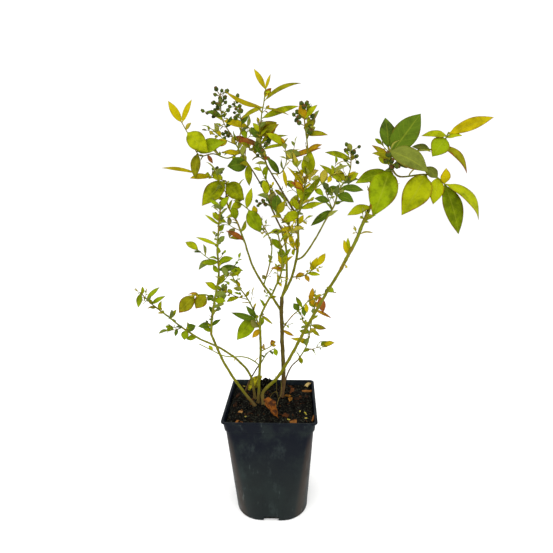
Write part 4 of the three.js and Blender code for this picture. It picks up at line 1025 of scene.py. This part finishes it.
class OBJECT_OT_pot_compost(bpy.types.Operator):
    """Dark cloddy compost that fills the pot, with loose crumbs on top"""

    bl_idname = "object.pot_compost"
    bl_label = "Potting Compost"

    DIVISIONS = 110
    SEED = 31
    GAP = 0.5
    BED = (-57, 57)
    CRUMB, LUMP, LUMP_EVERY = (0.7, 1.5), (1.8, 3.2), 7
    SHOWING = 0.25  # of a crumb's radius, from the surface to its middle
    SQUASH = (0.6, 1), (0.5, 0.9)
    CRUMB_NOISE, CLOD_NOISE = (1.4, 0.35), (2.6, 0.4)

    def execute(self, context):
        settings = context.scene.compost_settings
        bm = self.block(settings.clod / MM)
        self.add_crumbs(bm, settings)
        bmesh.ops.recalc_face_normals(bm, faces=bm.faces)
        earth = damp_earth(settings.peat)
        piece_from("potting_compost", mesh_from("potting_compost", bm), earth, "compost", "compost")
        return {"FINISHED"}

    def block(self, clod):
        bm = bmesh.new()
        square = bm.verts.layers.float_vector.new("square")
        bmesh.ops.create_grid(bm, x_segments=self.DIVISIONS, y_segments=self.DIVISIONS, size=1)
        for vert in bm.verts:
            vert[square] = vert.co
            x, y = inside_wall(*vert.co.xy, POT["collar_top_half"] - RIM_GAP, POT["lip_corner"] + RIM_GAP)
            vert.co = Vector((x, y, ground_height(x, y, clod))) * MM
        loop = [e for e in bm.edges if e.is_boundary]
        for z, half, corner in (
            (COLLAR_FOOT - self.GAP, POT["body_top_half"], POT["body_top_corner"]),
            (POT["floor"] + self.GAP, POT["base_half"], POT["base_corner"]),
        ):
            corners, loop = extruded(bm, loop)
            for vert in corners:
                vert.co = Vector((*inside_wall(*vert[square].xy, half - self.GAP, corner), z)) * MM
        bmesh.ops.edgeloop_fill(bm, edges=loop)
        return bm

    def add_crumbs(self, bm, settings):
        """Loose crumbs, every seventh a lump, and the clods against the back wall."""
        draw = seeded(self.SEED)
        for i in range(settings.crumbs):
            x, y = (within(self.BED, draw) for _ in range(2))
            size = within(self.CRUMB if i % self.LUMP_EVERY else self.LUMP, draw)
            base = Vector((x, y, ground_height(x, y, settings.clod / MM) + size * self.SHOWING)) * MM
            turn = Euler([within((0, math.tau), draw) for _ in range(3)]).to_matrix().to_4x4()
            shape = Matrix.Diagonal((1, *[within(limits, draw) for limits in self.SQUASH], 1))
            place = Matrix.Translation(base) @ turn @ shape
            self.add_ball(bm, place, size, 1 if size < self.LUMP[0] else 2, self.CRUMB_NOISE)
        for centre, radius in CLODS:
            self.add_ball(bm, Matrix.Translation(Vector(centre) * MM), radius, 3, self.CLOD_NOISE)

    def add_ball(self, bm, place, radius, subdivisions, roughness):
        ball = bmesh.ops.create_icosphere(bm, subdivisions=subdivisions, radius=radius * MM, matrix=place)
        roughened(ball["verts"], *roughness, radius)


# Bark chips: where they lie, heading, length, width, tone and the lift of the far end.
CHIPS = [
    ((56, 57), 55, 14, 6, 0.92, 3), ((53, 36), -5, 15, 4, 0.74, 1), ((27, 50), -60, 12, 4, 0.5, 2),
    ((30, 33), 80, 13, 5, 0.62, 2), ((-42, -29), -30, 6, 4, 0.8, 1), ((-44, -53), 75, 7, 4, 0.7, 1),
    ((33, -54), 15, 9, 6, 0.68, 1), ((22, -38), -30, 9, 5, 0.5, 1), ((60, -40), 70, 12, 3, 0.72, 2),
    ((-30, -34), 60, 6, 3, 0.3, 1), ((40, 12), 10, 12, 4, 0.25, 1), ((52, 16), 70, 10, 4, 0.3, 1),
    ((-52, 20), 75, 10, 4, 0.35, 1), ((-52, -8), 100, 9, 4, 0.3, 1),
]
YELLOW_BITS = [(-34, -41), (42, -23), (49, -27), (50, -31), (50, -42), (26, -47), (-47, 42), (-46, 51)]
# Withered leaves: root, heading, rise, length, half width, curl and tone.
DEAD_LEAVES = [
    ((-8, -17, 173), -58, -20, 36, 7, 1.5, 0),
    ((18, 12, 161), -25, 15, 13, 3, 1.3, 0.1),
    ((29, 6, 162), -100, 0, 12, 2.5, 1.4, 0.1),
    ((-36, 30, 161), 62, 24, 30, 6, 1.6, 1),
    ((-20, 60, 172), -105, -22, 27, 4.5, 1.5, 0.9),
]
# Lumps of peat against the pot's back wall: centre and radius.
CLODS = [
    ((-17, 50, 162), 5), ((-10, 52, 163), 5), ((-4, 51, 162), 4), ((-12, 51, 168), 3.6), ((-6, 50, 168), 3),
]
# Dry stalks that stand in the compost, from foot to tip.
STALKS = [
    [(8, -13, 158), (11, -4, 165), (15, 4, 171), (14, 12, 186)],
    [(6, 24, 158), (7, 26, 172), (4, 30, 190)],
    [(-4, 8, 158), (1, 10, 166), (8, 8, 170), (10, 4, 161)],
]


class OBJECT_OT_pot_litter(bpy.types.Operator):
    """Withered leaves, bark chips, flakes and yellow bits on the compost"""

    bl_idname = "object.pot_litter"
    bl_label = "Litter on the Compost"

    LEAF_THICKNESS = 0.35 * MM
    CRUMPLE_SPAN, CRUMPLE, HOLLOW = 5, 0.28, 0.9
    CHIP_THICKNESS, LONG_CHIP = 1.1, 6
    YELLOW_BIT, YELLOW_TONE, YELLOW_LIFT = (3.5, 1.6, 0.6), 1, 0.5
    BED = (-56, 56)
    FLAKE, FLAKE_TONE, DARK_SHARE = ((1.5, 6), (0.5, 1.6), (0.3, 0.8)), 0.75, 2.4
    SEED, RESTING = 77, 0.6
    CHIP_NOISE = (3, 0.3)
    ROLL, TONE_SPREAD = (-0.5, 0.5), (-0.08, 0.08)

    def execute(self, context):
        settings = context.scene.compost_settings
        piece_from("dead_leaf", self.dead_leaf_mesh(), dead_leaf(), "foliage_rust", "fallen_leaf")
        chips = self.chip_mesh(settings.flakes, settings.clod / MM)
        piece_from("bark_chips", chips, shed_bark(), "dry_bark", "bark_chip")
        return {"FINISHED"}

    def dead_leaf_mesh(self):
        """Leaves curled along their length and crumpled, lying on the compost."""
        bm = bmesh.new()
        tone = bm.verts.layers.float.new("tone")
        for root, heading, rise, length, half_width, curl, shade in DEAD_LEAVES:
            made = bmesh.ops.create_grid(bm, x_segments=12, y_segments=18, size=0.5)["verts"]
            direction = heading_vector(heading, rise)
            side = direction.cross(UP).normalized()
            face = side.cross(direction)
            for vert in made:
                across, along = vert.co.x * 2, vert.co.y + 0.5
                half = half_width * leaf_outline(0.04 + 0.94 * along, 0.85, 0.8)
                turn = across * curl
                place = Vector(root) + direction * length * along
                place += side * half * math.sin(turn) + face * half * (1 - math.cos(turn)) * self.HOLLOW
                crumple = noise.noise_vector(place / self.CRUMPLE_SPAN) * half_width * self.CRUMPLE
                vert.co = (place + crumple) * MM
                vert[tone] = shade
        bmesh.ops.solidify(bm, geom=bm.faces[:], thickness=self.LEAF_THICKNESS)
        bmesh.ops.recalc_face_normals(bm, faces=bm.faces)
        return mesh_from("dead_leaf", bm)

    def chip_mesh(self, flakes, clod):
        bm = bmesh.new()
        tone = bm.verts.layers.float.new("tone")
        draw = seeded(self.SEED)
        splinters = splinter(0), splinter(2)

        def add_chip(at, heading, size, shade, lift):
            height = ground_height(*at, clod) + size[2] * self.RESTING + lift / 2
            place = Matrix.Translation(Vector((*at, height)) * MM)
            slope = math.atan2(lift, size[0])
            turn = Euler((within(self.ROLL, draw), -slope, math.radians(heading))).to_matrix().to_4x4()
            shape = Matrix.Diagonal((*Vector(size) * MM, 1))
            first = len(bm.verts)
            bm.from_mesh(splinters[size[0] > self.LONG_CHIP])
            made = list(bm.verts)[first:]
            for vert in made:
                vert.co = place @ turn @ shape @ vert.co
                vert[tone] = min(1, max(0, shade + within(self.TONE_SPREAD, draw)))
            roughened(made, *self.CHIP_NOISE, size[1])

        for at, heading, length, width, shade, lift in CHIPS:
            add_chip(at, heading, (length, width, self.CHIP_THICKNESS), shade, lift)
        for at in YELLOW_BITS:
            add_chip(at, 360 * draw(), self.YELLOW_BIT, self.YELLOW_TONE, self.YELLOW_LIFT)
        for _ in range(flakes):
            at = [within(self.BED, draw) for _ in range(2)]
            size = [within(limits, draw) for limits in self.FLAKE]
            add_chip(at, 360 * draw(), size, draw() ** self.DARK_SHARE * self.FLAKE_TONE, draw())
        bmesh.ops.recalc_face_normals(bm, faces=bm.faces)
        return mesh_from("bark_chips", bm, smooth=False)


def splinter(cuts):
    """A chip of one unit each way, cut finer so that it can be bent and chipped."""
    bm = bmesh.new()
    bmesh.ops.create_cube(bm, size=1)
    if cuts:
        bmesh.ops.subdivide_edges(bm, edges=bm.edges[:], cuts=cuts, use_grid_fill=True)
    return mesh_from("splinter", bm)


# ---- Plant ----

# A stem's line: the least number of points, the gap between them and between the nodes, where the first
# node lies, the swelling at a node and its sharpness, the length of a root flare, and the waver with its
# span and the run it grows over.
LEAST_POINTS, POINT_GAP = 6, 2 * MM
NODE_GAP, FIRST_NODE = 15 * MM, (0.2, 0.8)
SWELLING, SHARPNESS = 0.14, 9
FLARE_LENGTH = 6 * MM
WAVER, WAVER_SPAN, WAVER_RUN = 0.25, 14 * MM, 8 * MM


def bark_line(stem, flare, draw):
    """Places and radii along a stem, with a root flare, a little waver and a swelling at each node."""
    count = max(LEAST_POINTS, round(stem.length / POINT_GAP))
    first = within(FIRST_NODE, draw) * NODE_GAP
    places, radii = [], []
    for i in range(count + 1):
        share = i / count
        along = share * stem.length
        phase = ((along + first) % NODE_GAP) / NODE_GAP
        swelling = SWELLING * math.exp(-(((phase - 0.5) * SHARPNESS) ** 2))
        thick = stem.radius[0] + (stem.radius[1] - stem.radius[0]) * share
        waver = noise.noise_vector(stem.at(share) / WAVER_SPAN) * WAVER * stem.radius[0]
        places.append(stem.at(share) + waver * min(1, along / WAVER_RUN))
        radii.append(thick * (1 + swelling + flare * math.exp(-along / FLARE_LENGTH)))
    return places, radii


class OBJECT_OT_bush_canes(bpy.types.Operator):
    """Bark-covered canes and boughs, brown at the foot and olive green above"""

    bl_idname = "object.bush_canes"
    bl_label = "Canes and Boughs"

    SIDES, SEED = 14, 11
    ROOT_FLARE, FOOT_SPREAD = 0.45, 1.1
    FOOT_DEPTH = 2.5 * MM
    DRY_STALK = (0.55 * MM, 0.3 * MM)

    def execute(self, context):
        settings = context.scene.plant_settings
        stems = grown_stems()
        draw = seeded(self.SEED)
        brown, green = (Rods(name, self.SIDES) for name in ("brown_bark", "green_bark"))
        names = {brown: [], green: []}
        for row in LIMBS:
            rods = brown if "brown" in row else green
            names[rods].append(row["name"])
            places, radii = bark_line(stems[row["name"]], self.ROOT_FLARE if "foot" in row else 0, draw)
            if "foot" in row:
                places.insert(0, places[0] - UP * self.FOOT_DEPTH)
                radii.insert(0, radii[0] * self.FOOT_SPREAD)
            rods.add(places, radii)
        for line in STALKS:
            green.add(*bark_line(Stem(metres(line), self.DRY_STALK), 0, draw))
        corky = bark("brown_cane", settings.brown_bark, 0.2, "#58501f")
        smooth = bark("green_cane", settings.green_bark, 0.184, "#474b0b")
        piece_from("brown_canes", brown.mesh(), corky, "brown_bark", *names[brown])
        piece_from("green_canes", green.mesh(), smooth, "green_bark", *names[green])
        return {"FINISHED"}


class Foliage:
    """Leaves of one tint, joined in one mesh: blades that taper to a petiole, with an underside."""

    SMALL_GRID, LARGE_GRID = (4, 8), (6, 14)
    TWIST, CUP, DROOP = (-0.35, 0.35), (0.2, 0.5), (0.02, 0.1)
    PETIOLE, PETIOLE_SHARE = 0.35 * MM, 0.06
    FLATTENING, RIPPLE, RIPPLES = 0.12, 0.06, 11
    LEAST_RUST, MORE_RUST = 0.4, 0.9

    def __init__(self, tint):
        self.tint = tint
        self.nodes = set()
        self.bm = bmesh.new()
        self.blade = self.bm.verts.layers.float_vector.new("blade")
        self.rust = self.bm.verts.layers.float.new("rust")

    def add(self, root, direction, face, length, width, bend, draw):
        columns, rows = self.LARGE_GRID if length > LARGE_LEAF * MM else self.SMALL_GRID
        made = bmesh.ops.create_grid(self.bm, x_segments=columns, y_segments=rows, size=0.5)["verts"]
        side = direction.cross(face)
        tone, rust, phase = draw() * min(1, length / PALE_LEAF / MM), draw(), within((0, math.tau), draw)
        rust = TINTS[self.tint]["rust"] * (self.LEAST_RUST + self.MORE_RUST * rust)
        twist, cup, droop = (within(limits, draw) for limits in (self.TWIST, self.CUP, self.DROOP))
        for vert in made:
            across, along = vert.co.x * 2, vert.co.y + 0.5
            share = (along - self.PETIOLE_SHARE) / (1 - self.PETIOLE_SHARE)
            half = max(self.outline(share) * width / 2, self.PETIOLE * (1 - along))
            turn = twist * along
            edge_way = side * math.cos(turn) + face * math.sin(turn)
            rise = 4 * along * (1 - along) * bend * length - droop * length * along**3
            rise += cup * abs(across) * half - self.FLATTENING * across * across * half
            rise += self.RIPPLE * half * math.sin(along * self.RIPPLES + phase + 2 * across) * abs(across)
            vert.co = root + direction * length * along + edge_way * across * half + face * rise
            vert[self.blade] = (across, along, tone)
            vert[self.rust] = rust

    @staticmethod
    def outline(share):
        """Half-width over its greatest, from the blade's foot to its pointed tip."""
        return leaf_outline(min(1, share), 0.84, 0.62 + 0.38 * share) if share > 0 else 0

    def piece(self, settings):
        name = self.tint + "_leaves"
        look = TINTS[self.tint]
        main = getattr(settings, self.tint)
        top = blade_finish(self.tint + "_blade", main, look["blade"][1], "#8a8e28", "#662d09")
        under = blade_finish(self.tint + "_underside", look["under"], look["under"], "#90935a", "#6a4018")
        piece = piece_from(name, mesh_from(name, self.bm), top, look["slot"], *sorted(self.nodes))
        piece.data.materials.append(under)
        shell = dict(thickness=settings.leaf_thickness, offset=-1, material_offset=1, material_offset_rim=1)
        applied(piece, "SOLIDIFY", **shell)


class Growth:
    """Grows every spray by the rule and hands its parts to the meshes that collect them."""

    AXIL_TURN, TWIGLET_TURN = (25, 70), (120, 220)
    BUD_TURN, BUD_TILT = 20, 35
    TWIGLET_BOW, TWIGLET_LIFT = 0.08, 0.25

    def __init__(self):
        self.stems = grown_stems()
        self.twigs = Rods("twigs", 8)
        self.foliage = {tint: Foliage(tint) for tint in TINTS}
        self.berries = []
        self.buds = []

    def spray(self, number, row):
        self.row = row
        self.size = row["leaf"] * MM
        self.fine = seeded(FINE_SEED + 7 * number)
        stem = self.stems[row["name"]]
        places, radii = bark_line(stem, 0, self.fine)
        self.twigs.add(places, [SKIN * radius for radius in radii])
        own = [*row["leaves"], *FINE_LEAVES.get(row["name"], ())]
        for share, heading, rise, length, width, tilt, tint, *bend in own:
            direction = heading_vector(heading, rise)
            face = face_of(direction, FRONT, tilt)
            self.leaf(stem.at(min(share, LAST_LEAF)), direction, face, length * MM, width * MM, tint, *bend)
        self.rule(stem, seeded(FIRST_SEED + number))

    def rule(self, stem, draw):
        row = self.row
        turn = 360 * draw()
        for i in range(row["fill"]):
            turn += GOLDEN_ANGLE
            share = (i + FIRST_LEAF) / row["fill"]
            self.ordinary_leaf(stem, share, turn, draw)
            self.axil(stem, share, turn)
        for i in range(row.get("twigs", 0)):
            turn += GOLDEN_ANGLE
            self.twig(stem, (i + FIRST_TWIG) / (row["twigs"] + TWIG_MARGIN), turn, draw)
        for i in range(row.get("berries", 0)):
            turn += GOLDEN_ANGLE
            self.berry(stem, 1 - BERRY_SPREAD * i / row["berries"], turn, draw)
        self.fruit(stem, metres(FRUIT.get(row["name"], ())))

    def leaf(self, root, direction, face, length, width, tint, bend=LEAF_ARCH):
        self.foliage[tint].nodes.add(self.row["name"])
        self.foliage[tint].add(root, direction, face, length, width, bend, self.fine)

    def near_tint(self):
        choices = NEAR_TINTS[self.row["tint"]]
        return choices[int(self.fine() * len(choices))]

    def ordinary_leaf(self, stem, share, turn, draw, scale=1.0):
        side_tilt = within(LEAF_TILT, draw)
        along = min(share, LAST_LEAF)
        direction = stem.offshoot(along, turn, END_LEAF_TILT if share == 1 else side_tilt)
        length = self.size * within(LEAF_SIZE, draw) * scale
        outward = heading_vector(360 * draw(), 0)
        face = face_of(direction, outward, within(FACE_TILT, draw))
        self.leaf(stem.at(along), direction, face, length, length * LEAF_ASPECT, self.near_tint())

    def axil(self, stem, share, turn):
        """A bud, and on most nodes a small leaf or a short twiglet, where a leaf leaves its stem."""
        fine = self.fine
        out = stem.offshoot(share, turn + self.BUD_TURN, self.BUD_TILT)
        self.buds.append((stem.at(share), out, within(BUD_LENGTH, fine) * MM))
        if self.row.get("bare"):
            return
        if fine() < AXIL_CHANCE:
            aside = turn + within(self.AXIL_TURN, fine)
            self.ordinary_leaf(stem, share, aside, fine, within(AXIL_SIZE, fine))
        if fine() < TWIGLET_CHANCE:
            self.twiglet(stem, share, turn + within(self.TWIGLET_TURN, fine))

    def twiglet(self, stem, share, turn):
        fine = self.fine
        direction = stem.offshoot(share, turn, within(TWIGLET_TILT, fine))
        length = self.size * within(TWIGLET_LENGTH, fine)
        start = stem.at(share)
        bend = start + direction * length / 2 + UP * length * self.TWIGLET_BOW
        end = bend + (direction + UP * self.TWIGLET_LIFT) * length / 2
        twiglet = self.shoot([start, bend, end], TWIGLET_RADIUS)
        for i, along in enumerate(TWIGLET_LEAVES):
            self.ordinary_leaf(twiglet, along, turn + i * GOLDEN_ANGLE, fine, within(AXIL_SIZE, fine))

    def twig(self, stem, share, turn, draw):
        direction = stem.offshoot(share, turn, within(TWIG_TILT, draw))
        length = self.size * within(TWIG_LENGTH, draw)
        start = stem.at(share)
        bend = start + direction * length / 2
        end = bend + direction * length / 2 + UP * length * TWIG_LIFT
        twig = self.shoot([start, bend, end], TWIG_RADIUS)
        for i, along in enumerate(TWIG_LEAVES):
            self.ordinary_leaf(twig, along, turn + i * GOLDEN_ANGLE, draw)
            self.axil(twig, along, turn + i * GOLDEN_ANGLE)

    def shoot(self, points, radius):
        stem = Stem(points, [r * MM for r in radius])
        self.twigs.add(*bark_line(stem, 0, self.fine))
        return stem

    def berry(self, stem, share, turn, draw):
        along = min(share, LAST_LEAF)
        direction = stem.offshoot(along, turn, within(BERRY_TILT, draw))
        reach = within(BERRY_REACH, draw) * MM
        root = stem.at(along)
        size = BERRY_RADIUS * within(BERRY_SIZE, draw) * MM
        self.hang(root, root + direction * (reach + BERRY_RADIUS * MM), size)

    def hang(self, root, centre, size):
        """One berry at the end of its stalk, its crown turned out and up."""
        out = ((centre - root).normalized() + UP * CROWN_LIFT).normalized()
        self.berries.append((centre, out, size))
        radius = STALK_RADIUS * MM
        sag = UP * STALK_SAG * MM
        stalk = Stem([root, root.lerp(centre, 0.5) - sag, centre], [radius] * 2)
        places = [stalk.at(i / STALK_STEPS) for i in range(STALK_STEPS + 1)]
        self.twigs.add(places, [radius] * len(places))

    def fruit(self, stem, places):
        """A branching cluster: each berry hangs from the stem or from the nearest stalk so far."""
        forks = list(stem.places)
        places.sort(key=lambda place: min((place - fork).length for fork in forks))
        for place in places:
            root = min(forks, key=lambda fork: (place - fork).length)
            self.hang(root, place, BERRY_RADIUS * within(FRUIT_SIZE, self.fine) * MM)
            forks.append(root.lerp(place, STALK_FORK))


# A berry of radius 1: the heights where its shoulder, crown and pit begin, the pit's floor, the crown's
# spread, foot and lobes, how far the berry is flattened, and the shade of the shoulder.
SHOULDER, RIM, PIT, PIT_FLOOR = 0.6, 0.8, 0.95, 0.55
CROWN_SPREAD, CROWN_FOOT, LOBE, LOBES = 1.7, 0.9, 0.45, 5
FLATTENED, SHOULDER_SHADE = 0.94, 0.25
BERRY_SEED = 5
BUD_SHAPE, BUD_OUT = (0.32, 0.32, 0.62, 1), 0.45


def berry_mesh(berries):
    """Every berry: a sphere whose top is drawn in and raised as its five-lobed crown."""
    bm = bmesh.new()
    tone = bm.verts.layers.float.new("tone")
    crown = bm.verts.layers.float.new("crown")
    draw = seeded(BERRY_SEED)
    for centre, out, size in berries:
        made = bmesh.ops.create_uvsphere(bm, u_segments=10, v_segments=8, radius=1)["verts"]
        shade = draw()
        for vert in made:
            x, y, z = vert.co
            lobe = 0.5 + 0.5 * math.cos(LOBES * math.atan2(y, x))
            vert[tone] = shade
            vert[crown] = 1 if z > RIM else SHOULDER_SHADE if z > SHOULDER else 0
            if z > PIT:
                z = PIT_FLOOR
            elif z > RIM:
                x, y, z = x * CROWN_SPREAD, y * CROWN_SPREAD, CROWN_FOOT + LOBE * lobe
            vert.co = centre + turned_to(out) @ (Vector((x, y, z * FLATTENED)) * size)
    return mesh_from("berries", bm)


def bud_mesh(buds):
    """Small pointed buds that sit in the leaf axils."""
    bm = bmesh.new()
    shape = Matrix.Diagonal(BUD_SHAPE)
    for root, direction, length in buds:
        place = Matrix.Translation(root + direction * length * BUD_OUT) @ turned_to(direction)
        bmesh.ops.create_icosphere(bm, subdivisions=1, radius=length, matrix=place @ shape)
    return mesh_from("buds", bm)


class OBJECT_OT_bush_sprays(bpy.types.Operator):
    """Every leafy spray: twigs, leaves sorted by tint, buds and berries"""

    bl_idname = "object.bush_sprays"
    bl_label = "Sprays of Leaves and Berries"

    def execute(self, context):
        settings = context.scene.plant_settings
        growth = Growth()
        for number, row in enumerate(SPRAYS):
            growth.spray(number, row)
        names = [row["name"] for row in SPRAYS]
        piece_from("twigs", growth.twigs.mesh(), twig_skin(settings.twig), "green_bark", *names)
        for foliage in growth.foliage.values():
            foliage.piece(settings)
        fruiting = [row["name"] for row in SPRAYS if "berries" in row or row["name"] in FRUIT]
        skin = berry_skin(settings.berry)
        piece_from("berries", berry_mesh(growth.berries), skin, "foliage_dark", *fruiting)
        piece_from("buds", bud_mesh(growth.buds), twig_skin(settings.twig), "green_bark", *names)
        return {"FINISHED"}


# ---- Stage ----


class OBJECT_OT_bush_stage(bpy.types.Operator):
    """Plain pale floor, even white light, a large soft key light and the camera"""

    bl_idname = "object.bush_stage"
    bl_label = "Floor, Lights and Camera"

    FLOOR_HALF, FLOOR_DROP = 20, 0.05 * MM
    KEY_AT, KEY_SIZE = (-0.6, -1.4, 1.9), 3.4
    FILL_AT, FILL_SIZE, FILL_SHARE = (1.3, -0.7, 1.1), 1.6, 0.2
    AIM = Vector((0, 0, 0.35))
    CAMERA_AT = Vector((35.2, -570.1, 473.5))
    YAW, PITCH, ROLL = 2.52, 12.45, -0.78

    def execute(self, context):
        scene, settings = context.scene, context.scene.stage_settings
        self.add_floor(settings.floor)
        self.add_sky(scene, settings.sky)
        self.add_light("key", self.KEY_AT, self.KEY_SIZE, settings.key)
        self.add_light("fill", self.FILL_AT, self.FILL_SIZE, settings.key * self.FILL_SHARE)
        self.add_camera(scene, settings.lens)
        scene.view_settings.view_transform = "Standard"
        return {"FINISHED"}

    def add_floor(self, white):
        bm = bmesh.new()
        bmesh.ops.create_grid(bm, x_segments=1, y_segments=1, size=self.FLOOR_HALF)
        floor = in_scene("floor", mesh_from("floor", bm, smooth=False))
        floor.location.z = -self.FLOOR_DROP
        floor.data.materials.append(pale_floor(white))

    def add_sky(self, scene, strength):
        world = bpy.data.worlds.new("white_studio")
        world.use_nodes = True
        background = world.node_tree.nodes["Background"]
        background.inputs["Color"].default_value = (1, 1, 1, 1)
        background.inputs["Strength"].default_value = strength
        scene.world = world

    def add_light(self, name, place, size, power):
        light = bpy.data.lights.new(name, "AREA")
        light.energy = power
        light.size = size
        lamp = in_scene(name, light)
        lamp.location = place
        lamp.rotation_euler = (self.AIM - lamp.location).to_track_quat("-Z", "Y").to_euler()

    def add_camera(self, scene, lens):
        data = bpy.data.cameras.new("camera")
        data.lens = lens
        data.sensor_width = 36
        data.clip_start = 0.01
        matrix = Matrix.Translation(self.CAMERA_AT * MM)
        for angle, axis in ((self.YAW, "Z"), (90 - self.PITCH, "X"), (self.ROLL, "Z")):
            matrix = matrix @ Matrix.Rotation(math.radians(angle), 4, axis)
        scene.camera = in_scene("camera", data)
        scene.camera.matrix_world = matrix


# ---- Panel and registration ----

OPERATORS = (
    OBJECT_OT_nursery_pot,
    OBJECT_OT_pot_compost,
    OBJECT_OT_pot_litter,
    OBJECT_OT_bush_canes,
    OBJECT_OT_bush_sprays,
    OBJECT_OT_bush_stage,
)
SETTINGS = {
    "pot_settings": PotSettings,
    "compost_settings": CompostSettings,
    "plant_settings": PlantSettings,
    "stage_settings": StageSettings,
}


class VIEW3D_PT_blueberry(bpy.types.Panel):
    """Settings and build buttons for the blueberry bush"""

    bl_label = "Blueberry Bush"
    bl_space_type = "VIEW_3D"
    bl_region_type = "UI"
    bl_category = "Blueberry"

    def draw(self, context):
        layout = self.layout
        for name, group in SETTINGS.items():
            box = layout.box()
            for key in group.__annotations__:
                box.prop(getattr(context.scene, name), key)
        for operator in OPERATORS:
            layout.operator(operator.bl_idname)


CLASSES = (*SETTINGS.values(), *OPERATORS, VIEW3D_PT_blueberry)


def register():
    for cls in CLASSES:
        bpy.utils.register_class(cls)
    for name, group in SETTINGS.items():
        setattr(bpy.types.Scene, name, PointerProperty(type=group))


def unregister():
    for name in SETTINGS:
        delattr(bpy.types.Scene, name)
    for cls in reversed(CLASSES):
        bpy.utils.unregister_class(cls)


def main():
    """Builds every piece and the stage."""
    register()
    for name in ("nursery_pot", "pot_compost", "pot_litter", "bush_canes", "bush_sprays", "bush_stage"):
        getattr(bpy.ops.object, name)()
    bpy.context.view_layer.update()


if __name__ == "__main__":
    main()
